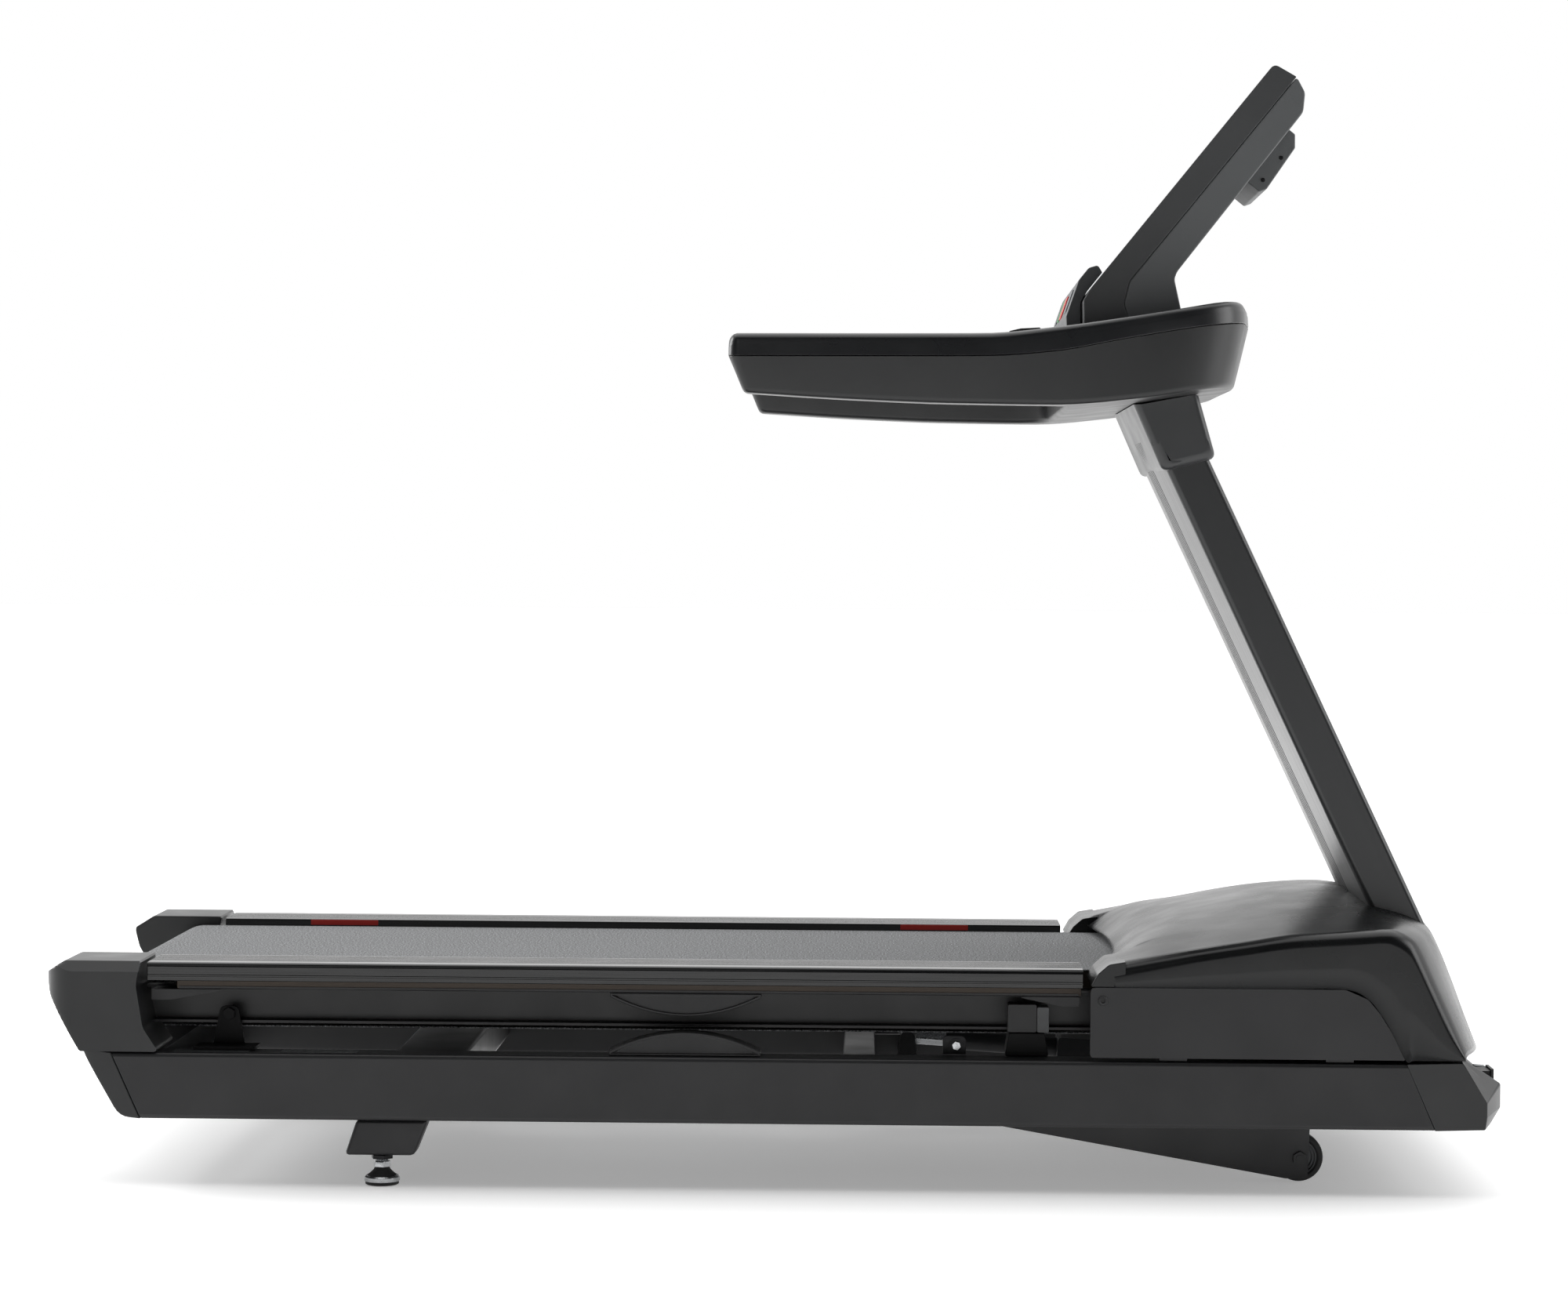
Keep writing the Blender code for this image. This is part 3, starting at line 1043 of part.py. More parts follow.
def display_frame():
    """Return the display's lower end, its direction up and its direction forwards."""
    foot = Vector((NOSE - 0.5745, 0, CONSOLE_DATUM - 0.300))
    lean = math.radians(38.9)
    up = Vector((math.sin(lean), 0, math.cos(lean)))
    return foot, up, Vector((up.z, 0, -up.x))


def build_display():
    """The reclined display: front, glass and rear housing, standing on the console."""
    foot, up, ahead = display_frame()
    length = DISPLAY_LENGTH

    def at(along, depth):
        point = foot + up * along + ahead * depth
        return (point.x, point.z)

    base_rear, base_mid, base_front = NOSE - 0.611, NOSE - 0.545, NOSE - 0.468
    half = DISPLAY_HALF_WIDTH
    seam = 0.038
    front_view = [(base_rear, over_console(base_rear) + GAP), (base_rear - 0.001, CONSOLE_DATUM - 0.352),
                  (base_rear + 0.009, CONSOLE_DATUM - 0.334), at(0, 0), at(length, 0), at(length + 0.006, seam - GAP),
                  at(0, seam - GAP), (base_mid - 0.008, CONSOLE_DATUM - 0.357),
                  (base_mid, over_console(base_mid) + GAP)]
    front = add_part("display_front", prism(rounded(
        front_view, [0.004, 0.006, 0.02, 0.05, 0.010, 0.002, 0.02, 0.02, 0], 3), -half, half), "console")
    back_view = [at(0, seam), at(length + 0.006, seam), at(length - 0.004, seam + 0.024),
                 at(length - 0.028, seam + 0.040), at(0.055, seam + 0.045),
                 (NOSE - 0.479, CONSOLE_DATUM - 0.320), (base_front, over_console(base_front) + GAP),
                 (base_mid + GAP, over_console(base_mid) + GAP),
                 (base_mid - 0.008 + GAP, CONSOLE_DATUM - 0.357)]
    back = add_part("display_back", prism(rounded(
        back_view, [0.02, 0.004, 0.016, 0.020, 0.03, 0.015, 0.004, 0, 0.02], 3), -half, half), "display")
    for piece in (front, back):
        bevel(piece, 0.006, 2, 70)
    recess = 0.003
    glass_low, glass_high = 0.045, length - 0.030
    reach = half - 0.030
    window = [at(glass_low, -0.02), at(glass_high, -0.02), at(glass_high, recess), at(glass_low, recess)]
    cut(front, prism(window, -reach, reach))
    cut(front, prism([at(0.02, 0.008), at(length - 0.012, 0.008), at(length - 0.012, seam + 0.01),
                      at(0.02, seam + 0.01)], -half + 0.012, half - 0.012))
    cut(back, prism([at(0.02, seam - 0.01), at(length - 0.012, seam - 0.01),
                     at(length - 0.034, seam + 0.034), at(0.05, seam + 0.038)],
                    -half + 0.008, half - 0.008))
    smooth(front)
    smooth(back)
    add_part("screen_glass", prism(
        [at(glass_low + GAP, 0.0006), at(glass_high - GAP, 0.0006), at(glass_high - GAP, recess - GAP),
         at(glass_low + GAP, recess - GAP)], -reach + GAP, reach - GAP), "glass")


def build_controls():
    """The control pod on the console, with its stop and start buttons and two toggles."""
    face_rear, face_front = NOSE - 0.634, NOSE - 0.6125
    rear_top, front_top = CONSOLE_DATUM - 0.372, CONSOLE_DATUM - 0.318
    half = 0.240
    behind = NOSE - 0.6128
    view = rounded([(face_rear, over_console(face_rear) + GAP), (face_rear - 0.001, rear_top),
                    (face_front - 0.004, front_top), (NOSE - 0.6015, CONSOLE_DATUM - 0.299),
                    (NOSE - 0.5875, CONSOLE_DATUM - 0.2955), (NOSE - 0.5835, CONSOLE_DATUM - 0.3035),
                    (NOSE - 0.6065, CONSOLE_DATUM - 0.3300), (behind, CONSOLE_DATUM - 0.350),
                    (behind, over_console(behind) + GAP)],
                   [0, 0.006, 0.02, 0.016, 0.006, 0.002, 0.01, 0.01, 0], 3)
    pod = add_part("control_pod", prism(view, -half, half), "display")
    low = Vector((face_rear - 0.001, 0, rear_top))
    high = Vector((face_front - 0.004, 0, front_top))
    slope = (high - low).normalized()
    out = Vector((-slope.z, 0, slope.x))
    centre = (low + high) / 2
    travel, depth = 0.0025, 0.0060
    pieces = (("stop_button", 0.0, 0.030, "red"), ("start_button", 0.070, 0.018, "green"),
              ("incline_toggle", -0.150, 0.022, "button"), ("speed_toggle", 0.150, 0.022, "button"))
    for name, y, half_width, look in pieces:
        def box(reach_down, lift, extra):
            corners = [(-0.018 - extra, reach_down), (0.018 + extra, reach_down),
                       (0.018 + extra, lift), (-0.018 - extra, lift)]
            places = [centre + slope * a + out * b for a, b in corners]
            return prism([(p.x, p.z) for p in places], y - half_width - extra, y + half_width + extra)
        cut(pod, box(-depth, 0.02, 0.0008))
        pivot = centre + Vector((0, y, 0)) + out * (0.001 if "toggle" in name else 0)
        shape = box(-depth + travel + 0.0005, 0.002, 0)
        piece = add_part(name, shape, look, pivot)
        bevel(piece, 0.0015, 2)
        smooth(piece)
    smooth(pod)


def build_all():
    """Build every part of the treadmill."""
    build_side_tubes()
    build_crossmembers()
    build_tube_caps()
    build_rail_end_caps()
    build_legs()
    build_bump_stops()
    build_isolators()
    build_deck_pivots()
    build_deck_members()
    build_deck_board()
    build_belt()
    build_foot_rails()
    build_rollers()
    build_drive()
    build_lift()
    build_hood()
    build_belly_pan()
    build_electrics()
    build_mast()
    build_console()
    build_display()
    build_controls()


clear_scene()
model = new_collection(OBJECT_NAME)
cutters = new_collection("cutters")
build_all()
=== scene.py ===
"""Finished looks of a commercial treadmill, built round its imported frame.

Every size is read off the frame or given in real metres; every surface is a procedural finish.
"""
import json
import logging
import math
from collections.abc import Callable, Iterable, Sequence
from dataclasses import dataclass
from enum import Enum

import bmesh
import bpy
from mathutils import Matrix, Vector

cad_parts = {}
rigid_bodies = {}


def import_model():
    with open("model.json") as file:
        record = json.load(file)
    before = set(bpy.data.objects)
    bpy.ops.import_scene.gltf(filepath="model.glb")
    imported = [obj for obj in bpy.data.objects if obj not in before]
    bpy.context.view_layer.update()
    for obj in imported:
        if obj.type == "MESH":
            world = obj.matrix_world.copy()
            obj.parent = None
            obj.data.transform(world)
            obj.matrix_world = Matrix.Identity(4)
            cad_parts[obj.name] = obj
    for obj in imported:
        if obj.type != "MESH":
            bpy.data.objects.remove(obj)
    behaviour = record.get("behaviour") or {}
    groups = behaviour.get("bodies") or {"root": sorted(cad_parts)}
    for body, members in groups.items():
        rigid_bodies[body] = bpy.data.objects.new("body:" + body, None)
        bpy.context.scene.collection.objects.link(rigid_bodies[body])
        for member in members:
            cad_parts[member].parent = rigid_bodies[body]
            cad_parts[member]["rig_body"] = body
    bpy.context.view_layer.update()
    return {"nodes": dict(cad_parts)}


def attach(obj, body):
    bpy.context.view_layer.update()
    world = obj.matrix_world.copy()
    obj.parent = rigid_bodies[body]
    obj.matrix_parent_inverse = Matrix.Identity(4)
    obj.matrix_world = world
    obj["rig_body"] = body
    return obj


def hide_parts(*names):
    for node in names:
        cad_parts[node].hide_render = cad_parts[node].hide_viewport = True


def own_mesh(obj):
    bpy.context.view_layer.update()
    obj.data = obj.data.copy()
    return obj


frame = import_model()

log = logging.getLogger("treadmill")
MM = 0.001

# shared places in metres: x runs to the nose, z up from the floor
NOSE = 1.06
TAIL = -1.06
SIDE = 0.415
TUBE_IN = 0.355
TUBE_TOP = 0.194
TUBE_BASE = 0.0975
RAIL_IN = 0.281

RIGHT, LEFT = -1, 1
SIDES = {"right": RIGHT, "left": LEFT}
Point = tuple[float, float]


class Body(str, Enum):
    """The two large groups that most pieces ride on."""

    BASE = "base"
    DECK = "deck"


class Slot(str, Enum):
    """The record's finishes that a new piece can take."""

    FRAME = "frame_paint"
    CAP = "cap_plastic"
    HOOD = "hood_plastic"
    RAIL = "rail_plastic"
    RUBBER = "rubber"
    STEEL = "steel"
    MOTOR = "motor_paint"
    MAST = "mast_aluminium"
    CONSOLE = "console_plastic"
    DISPLAY = "display_plastic"
    GLASS = "glass"
    BOARD = "board"
    BELT = "belt"
    RED = "red_button"
    GREEN = "green_button"
    KEYS = "key_plastic"


# ------------------------------------------------------------------ finishes
def linear(code: str) -> tuple[float, float, float, float]:
    """Turn an sRGB hex colour into linear light.

    Args:
        code: The colour as "#rrggbb".

    Returns:
        Linear red, green, blue and an alpha of 1.
    """
    channels = [int(code[i:i + 2], 16) / 255 for i in (1, 3, 5)]
    return (*(c / 12.92 if c <= 0.04045 else ((c + 0.055) / 1.055) ** 2.4 for c in channels), 1.0)


def shade(code: str, share: float) -> tuple[float, float, float, float]:
    """Return a colour made lighter or darker by a share of itself, in linear light."""
    return (*(min(1.0, c * (1 + share)) for c in linear(code)[:3]), 1.0)


def add_node(tree: bpy.types.NodeTree, kind: str, settings: dict | None = None,
             links: dict | None = None) -> bpy.types.Node:
    """Add a node with its settings and its incoming links.

    Args:
        tree: The node tree that takes the node.
        kind: The node's type name without its "ShaderNode" prefix.
        settings: Values by socket name or number, or by the node's own setting.
        links: Output sockets by the name or number of the socket they go into.

    Returns:
        The new node.
    """
    node = tree.nodes.new("ShaderNode" + kind)
    for key, value in (settings or {}).items():
        if isinstance(key, int) or key in node.inputs:
            node.inputs[key].default_value = value
        else:
            setattr(node, key, value)
    for key, socket in (links or {}).items():
        tree.links.new(socket, node.inputs[key])
    return node


@dataclass(frozen=True)
class Finish:
    """One real surface: its colour, its gloss and how it was made."""

    name: str
    colour: str
    roughness: float
    metallic: float = 0.0
    ior: float = 1.5
    coat: float = 0.0
    coat_roughness: float = 0.1

    def material(self) -> bpy.types.Material:
        """Return the finish's material, built the first time it is asked for."""
        found = bpy.data.materials.get(self.name)
        if found:
            return found
        material = bpy.data.materials.new(self.name)
        material.use_nodes = True
        tree = material.node_tree
        shader = tree.nodes["Principled BSDF"]
        shader.inputs["Base Color"].default_value = linear(self.colour)
        shader.inputs["Roughness"].default_value = self.roughness
        shader.inputs["Metallic"].default_value = self.metallic
        shader.inputs["Coat Weight"].default_value = self.coat
        shader.inputs["Coat Roughness"].default_value = self.coat_roughness
        if not self.metallic:
            shader.inputs["IOR"].default_value = self.ior
        place = add_node(tree, "TexCoord").outputs["Object"]
        self.dress(tree, shader, place)
        return material

    def dress(self, tree: bpy.types.NodeTree, shader: bpy.types.Node,
              place: bpy.types.NodeSocket) -> None:
        """Add the finish's own pattern. Plain finishes only mottle."""
        self.mottle(tree, shader, place, 60 * MM, 0.10)

    def noise(self, tree: bpy.types.NodeTree, place: bpy.types.NodeSocket, size: float,
              detail: float = 3.0, stretch: Sequence[float] = (1, 1, 1)) -> bpy.types.NodeSocket:
        """Return cloudy noise whose lumps are about one size across.

        Args:
            tree: The node tree.
            place: Coordinates in metres.
            size: Lump size in metres.
            detail: Octaves of finer noise.
            stretch: How much the lumps are squeezed along X, Y and Z.

        Returns:
            The noise's value socket.
        """
        scaled = add_node(tree, "Mapping", {"Scale": [s / size for s in stretch]},
                          {"Vector": place}).outputs[0]
        return add_node(tree, "TexNoise", {"Scale": 1.0, "Detail": detail},
                        {"Vector": scaled}).outputs[0]

    def mottle(self, tree: bpy.types.NodeTree, shader: bpy.types.Node,
               place: bpy.types.NodeSocket, size: float, spread: float) -> bpy.types.NodeSocket:
        """Vary the colour gently over the surface.

        Args:
            tree: The node tree.
            shader: The surface shader.
            place: Coordinates in metres.
            size: Size of the light and dark patches, in metres.
            spread: How far they go from the main colour.

        Returns:
            The mixed colour socket.
        """
        patches = self.noise(tree, place, size)
        mixed = add_node(tree, "Mix", {"data_type": "RGBA", 6: shade(self.colour, -spread),
                                       7: shade(self.colour, spread)}, {0: patches}).outputs[2]
        tree.links.new(mixed, shader.inputs["Base Color"])
        return mixed

    def polish(self, tree: bpy.types.NodeTree, shader: bpy.types.Node,
               pattern: bpy.types.NodeSocket, spread: float) -> None:
        """Vary the gloss with a pattern, by spread either side of the finish's roughness."""
        varied = add_node(tree, "MapRange", {"From Min": 0.3, "From Max": 0.7,
                                             "To Min": max(0.02, self.roughness - spread),
                                             "To Max": self.roughness + spread},
                          {"Value": pattern}).outputs[0]
        tree.links.new(varied, shader.inputs["Roughness"])

    def relief(self, tree: bpy.types.NodeTree, shader: bpy.types.Node,
               pattern: bpy.types.NodeSocket, depth: float, strength: float = 1.0) -> None:
        """Raise the surface with a pattern, depth in metres."""
        bump = add_node(tree, "Bump", {"Distance": depth, "Strength": strength},
                        {"Height": pattern}).outputs[0]
        tree.links.new(bump, shader.inputs["Normal"])


@dataclass(frozen=True)
class MouldedABS(Finish):
    """Injection-moulded ABS from a spark-eroded mould: fine pits break the highlights up."""

    grain: float = 0.9 * MM
    depth: float = 0.10 * MM

    def dress(self, tree: bpy.types.NodeTree, shader: bpy.types.Node,
              place: bpy.types.NodeSocket) -> None:
        """Fine pitted grain, with gloss that drifts over the moulding."""
        self.mottle(tree, shader, place, 180 * MM, 0.07)
        self.polish(tree, shader, self.noise(tree, place, 90 * MM), 0.05)
        self.relief(tree, shader, self.noise(tree, place, self.grain, 2.0), self.depth)


@dataclass(frozen=True)
class PolishedABS(Finish):
    """High-gloss ABS moulding: mirror-like, with scuffs that run along its length."""

    def dress(self, tree: bpy.types.NodeTree, shader: bpy.types.Node,
              place: bpy.types.NodeSocket) -> None:
        """Long faint scuffs and a slight waviness, which stretch the reflections."""
        self.mottle(tree, shader, place, 120 * MM, 0.12)
        scuffs = self.noise(tree, place, 2.5 * MM, 5.0, (0.02, 1, 1))
        self.polish(tree, shader, scuffs, 0.09)
        self.relief(tree, shader, self.noise(tree, place, 45 * MM, 1.0, (0.3, 1, 1)), 0.25 * MM)


@dataclass(frozen=True)
class PowderCoat(Finish):
    """Oven-cured polyester powder on steel: satin, with a fine orange-peel."""

    peel: float = 1.6 * MM

    def dress(self, tree: bpy.types.NodeTree, shader: bpy.types.Node,
              place: bpy.types.NodeSocket) -> None:
        """Orange-peel relief and a trace of uneven gloss."""
        self.mottle(tree, shader, place, 140 * MM, 0.08)
        self.polish(tree, shader, self.noise(tree, place, 70 * MM), 0.04)
        self.relief(tree, shader, self.noise(tree, place, self.peel, 2.0), 0.06 * MM)


@dataclass(frozen=True)
class AnodisedAluminium(Finish):
    """Anodised extrusion: die lines run its whole length and stretch reflections across them."""

    lean: float = 0.0

    def dress(self, tree: bpy.types.NodeTree, shader: bpy.types.Node,
              place: bpy.types.NodeSocket) -> None:
        """Fine lines along the extrusion, turned to its lean."""
        turned = add_node(tree, "Mapping", {"Rotation": (0, self.lean, 0)},
                          {"Vector": place}).outputs[0]
        lines = self.noise(tree, turned, 1.1 * MM, 3.0, (1, 1, 0.004))
        self.mottle(tree, shader, turned, 200 * MM, 0.05)
        self.polish(tree, shader, lines, 0.06)
        self.relief(tree, shader, lines, 0.02 * MM)
        shader.inputs["Anisotropic"].default_value = 0.35


@dataclass(frozen=True)
class CoatedBelt(Finish):
    """Woven polyester belt with a sanded PVC top: grey flecks and a pebbled, dull face."""

    fleck: str = "#a5a7a9"
    dark: str = "#2c2d2e"
    pebble: float = 2.6 * MM

    def dress(self, tree: bpy.types.NodeTree, shader: bpy.types.Node,
              place: bpy.types.NodeSocket) -> None:
        """Light and dark flecks over a mid grey, and pebbles a few millimetres apart."""
        base = self.mottle(tree, shader, place, 320 * MM, 0.06)
        grains = self.noise(tree, place, self.pebble, 4.0)
        light = add_node(tree, "MapRange", {"From Min": 0.54, "From Max": 0.63},
                         {"Value": grains}).outputs[0]
        deep = add_node(tree, "MapRange", {"From Min": 0.47, "From Max": 0.38},
                        {"Value": grains}).outputs[0]
        lit = add_node(tree, "Mix", {"data_type": "RGBA", 7: linear(self.fleck)},
                       {0: light, 6: base}).outputs[2]
        both = add_node(tree, "Mix", {"data_type": "RGBA", 7: linear(self.dark)},
                        {0: deep, 6: lit}).outputs[2]
        tree.links.new(both, shader.inputs["Base Color"])
        self.relief(tree, shader, grains, 0.45 * MM)


@dataclass(frozen=True)
class ZincPlate(Finish):
    """Bright zinc on turned steel: metallic, with faint tool rings and cloudy passivation."""

    def dress(self, tree: bpy.types.NodeTree, shader: bpy.types.Node,
              place: bpy.types.NodeSocket) -> None:
        """Cloudy gloss with a fine tool texture."""
        self.mottle(tree, shader, place, 12 * MM, 0.10)
        self.polish(tree, shader, self.noise(tree, place, 6 * MM, 4.0), 0.08)
        self.relief(tree, shader, self.noise(tree, place, 0.7 * MM, 2.0, (1, 1, 6)), 0.02 * MM)


@dataclass(frozen=True)
class MouldedRubber(Finish):
    """Compression-moulded rubber: soft sheen, dusty grain and no hard highlights."""

    def dress(self, tree: bpy.types.NodeTree, shader: bpy.types.Node,
              place: bpy.types.NodeSocket) -> None:
        """Dusty patches over a matt grain."""
        self.mottle(tree, shader, place, 25 * MM, 0.25)
        self.relief(tree, shader, self.noise(tree, place, 1.2 * MM), 0.08 * MM)
        shader.inputs["Sheen Weight"].default_value = 0.08


@dataclass(frozen=True)
class PhenolicBoard(Finish):
    """Resin-faced fibreboard: its cut edge shows brown fibres in thin flat layers."""

    def dress(self, tree: bpy.types.NodeTree, shader: bpy.types.Node,
              place: bpy.types.NodeSocket) -> None:
        """Thin level layers with short fibres along them."""
        fibres = self.noise(tree, place, 6 * MM, 5.0, (0.15, 0.15, 8))
        mixed = add_node(tree, "Mix", {"data_type": "RGBA", 6: shade(self.colour, -0.25),
                                       7: shade(self.colour, 0.45)}, {0: fibres}).outputs[2]
        tree.links.new(mixed, shader.inputs["Base Color"])
        self.relief(tree, shader, fibres, 0.10 * MM)


@dataclass(frozen=True)
class ToughenedGlass(Finish):
    """Back-printed toughened glass: a deep, wet black with barely visible wipe marks."""

    def dress(self, tree: bpy.types.NodeTree, shader: bpy.types.Node,
              place: bpy.types.NodeSocket) -> None:
        """Faint wipe marks that only show in the gloss."""
        self.mottle(tree, shader, place, 150 * MM, 0.10)
        self.polish(tree, shader, self.noise(tree, place, 35 * MM, 4.0, (1, 0.3, 1)), 0.03)


@dataclass(frozen=True)
class Palette:
    """Every finish on the machine."""

    frame_paint: Finish = PowderCoat("powder_coated_steel", "#18181a", 0.42)
    deck_paint: Finish = PowderCoat("powder_coated_deck_channel", "#161617", 0.40)
    cap: Finish = MouldedABS("satin_moulded_abs_cap", "#191a1b", 0.34, depth=0.05 * MM)
    hood: Finish = MouldedABS("moulded_abs_hood", "#101112", 0.25, ior=1.42, grain=1.3 * MM,
                              depth=0.07 * MM)
    panel: Finish = MouldedABS("smooth_moulded_abs_panel", "#18181a", 0.40, depth=0.03 * MM)
    rail: Finish = PolishedABS("polished_abs_foot_rail", "#08090a", 0.20, coat=0.2,
                               coat_roughness=0.08)
    rubber: Finish = MouldedRubber("moulded_rubber", "#151515", 0.75)
    tyre: Finish = MouldedRubber("moulded_rubber_tyre", "#1b1b1c", 0.62)
    bracket: Finish = MouldedABS("glass_filled_nylon_bracket", "#1d1d1e", 0.48)
    zinc: Finish = ZincPlate("bright_zinc_plated_steel", "#b9bbbd", 0.24, metallic=1.0)
    # Black inner steel, painted darker and duller than the frame's paint as painted shade for the parts
    # that sit in shadow under the deck and rails
    inner: Finish = PowderCoat("matt_black_inner_steel", "#0c0c0d", 0.62, ior=1.3)
    roller: Finish = ZincPlate("ground_steel_roller", "#8d8f91", 0.30, metallic=1.0)
    black_oxide: Finish = ZincPlate("black_oxide_steel", "#2a2a2b", 0.38, metallic=0.9)
    motor: Finish = PowderCoat("enamelled_casting", "#17181a", 0.50)
    console: Finish = MouldedABS("satin_moulded_abs_console", "#17181a", 0.30, depth=0.04 * MM)
    collar: Finish = MouldedABS("moulded_abs_mast_collar", "#343536", 0.34, depth=0.05 * MM)
    console_low: Finish = MouldedABS("moulded_abs_console_shell", "#161718", 0.38, depth=0.05 * MM)
    display: Finish = MouldedABS("moulded_abs_display_front", "#3d3e3f", 0.38, depth=0.05 * MM)
    display_back: Finish = MouldedABS("grained_abs_display_back", "#555758", 0.50, grain=1.4 * MM,
                                      depth=0.14 * MM)
    pod: Finish = MouldedABS("moulded_abs_control_pod", "#47494b", 0.40, depth=0.04 * MM)
    glass: Finish = ToughenedGlass("toughened_display_glass", "#08090a", 0.06, ior=1.52, coat=0.5,
                                   coat_roughness=0.03)
    board: Finish = PhenolicBoard("resin_faced_fibreboard", "#33291f", 0.60)
    belt: Finish = CoatedBelt("pvc_coated_woven_belt", "#6b6c6d", 0.85)
    red: Finish = MouldedABS("red_moulded_abs", "#c9281f", 0.35, depth=0.03 * MM)
    green: Finish = MouldedABS("green_moulded_abs", "#2f8a45", 0.35, depth=0.03 * MM)
    keys: Finish = MouldedABS("grey_moulded_abs_keys", "#6a6d70", 0.40, depth=0.03 * MM)
    foil: Finish = ZincPlate("brushed_foil_plate", "#5c5e60", 0.38, metallic=0.8)
    liner: Finish = MouldedRubber("grey_cellular_rubber", "#5a5b5c", 0.80)
    hub: Finish = MouldedABS("grey_nylon_hub", "#5b5d5f", 0.40, depth=0.04 * MM)


PALETTE = Palette()


# ------------------------------------------------------------------ making pieces
def dress_piece(piece: bpy.types.Object, finish: Finish, slot: Slot) -> bpy.types.Object:
    """Give a piece its finish."""
    piece.data.materials.clear()
    piece.data.materials.append(finish.material())
    return piece


def new_piece(name: str, mesh: bpy.types.Mesh, finish: Finish, slot: Slot, body: str,
              smooth: float = 35) -> bpy.types.Object:
    """Add a finished piece that rides on a body.

    Args:
        name: The piece's name.
        mesh: Its mesh, in place.
        finish: What it is made of.
        slot: The record's finish; not used.
        body: The body that it moves with.
        smooth: Edges sharper than this many degrees stay sharp.

    Returns:
        The new object.
    """
    piece = bpy.data.objects.new(name, mesh)
    bpy.context.scene.collection.objects.link(piece)
    mesh.shade_smooth()
    mesh.set_sharp_from_angle(angle=math.radians(smooth))
    even_out = piece.modifiers.new("Weighted normals", "WEIGHTED_NORMAL")
    even_out.keep_sharp = True
    even_out.weight = 80
    dress_piece(piece, finish, slot)
    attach(piece, body)
    return piece


def to_mesh(work: bmesh.types.BMesh, name: str) -> bpy.types.Mesh:
    """Turn a bmesh into a mesh with its faces pointing out."""
    bmesh.ops.recalc_face_normals(work, faces=work.faces)
    mesh = bpy.data.meshes.new(name)
    work.to_mesh(mesh)
    work.free()
    return mesh


def soften(work: bmesh.types.BMesh, width: float, angle: float = 30, segments: int = 3) -> None:
    """Round the edges of a mesh that are sharper than an angle."""
    limit = math.radians(angle)
    edges = [e for e in work.edges if len(e.link_faces) == 2 and e.calc_face_angle(0) > limit]
    bmesh.ops.bevel(work, geom=edges, offset=width, segments=segments, profile=0.5,
                    affect="EDGES", clamp_overlap=True)


def refined(node: str, finish: Finish, slot: Slot, width: float = 0.8 * MM, angle: float = 30,
            name: str | None = None) -> bpy.types.Object:
    """Stand a piece in for a solid: the same shape with its flats merged and edges rounded.

    Args:
        node: The solid that the piece stands for.
        finish: What it is made of.
        slot: The record's finish; not used.
        width: Edge rounding in metres.
        angle: Edges sharper than this many degrees are rounded.
        name: The piece's name, or the node's with "_finished".

    Returns:
        The new object.
    """
    source = frame["nodes"][node]
    work = bmesh.new()
    work.from_mesh(source.data)
    bmesh.ops.remove_doubles(work, verts=work.verts, dist=0.00002)
    bmesh.ops.dissolve_limit(work, angle_limit=math.radians(1.0), verts=work.verts,
                             edges=work.edges)
    if width:
        soften(work, width, angle)
    piece = new_piece(name or f"{node}_finished", to_mesh(work, node), finish, slot,
                      source["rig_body"])
    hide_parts(node)
    return piece


def arc_corners(points: Sequence[Point], radii: float | Sequence[float],
                steps: int = 8) -> list[Point]:
    """Turn the corners of a flat outline into arcs.

    Args:
        points: The outline's corners in order.
        radii: One radius, or one for each corner.
        steps: Segments in each arc.

    Returns:
        The rounded outline.
    """
    sizes = [radii] * len(points) if isinstance(radii, (int, float)) else list(radii)
    result: list[Point] = []
    for index, corner in enumerate(points):
        here = Vector(corner)
        back, ahead = Vector(points[index - 1]) - here, Vector(points[(index + 1) % len(points)]) - here
        turn = back.angle(ahead)
        if sizes[index] <= 0 or math.pi - turn < 0.02:
            result.append((here.x, here.y))
            continue
        reach = min(sizes[index] / math.tan(turn / 2), 0.49 * back.length, 0.49 * ahead.length)
        start, end = here + back.normalized() * reach, here + ahead.normalized() * reach
        for step in range(steps + 1):
            t = step / steps
            spot = start * (1 - t) ** 2 + here * 2 * t * (1 - t) + end * t ** 2
            result.append((spot.x, spot.y))
    return result


def lofted(rings: Sequence[Sequence[Sequence[float]]], closed: bool = True,
           caps: bool = True) -> bmesh.types.BMesh:
    """Skin a run of matching rings of points.

    Args:
        rings: Rings with the same number of points each.
        closed: Whether each ring closes on itself.
        caps: Whether the first and last rings are filled.

    Returns:
        The skin as a bmesh.
    """
    work = bmesh.new()
    rows = [[work.verts.new(point) for point in ring] for ring in rings]
    for row, after in zip(rows, rows[1:]):
        count = len(row)
        for i in range(count if closed else count - 1):
            work.faces.new((row[i], row[(i + 1) % count], after[(i + 1) % count], after[i]))
    if caps and closed:
        work.faces.new(rows[0])
        work.faces.new(rows[-1][::-1])
    return work


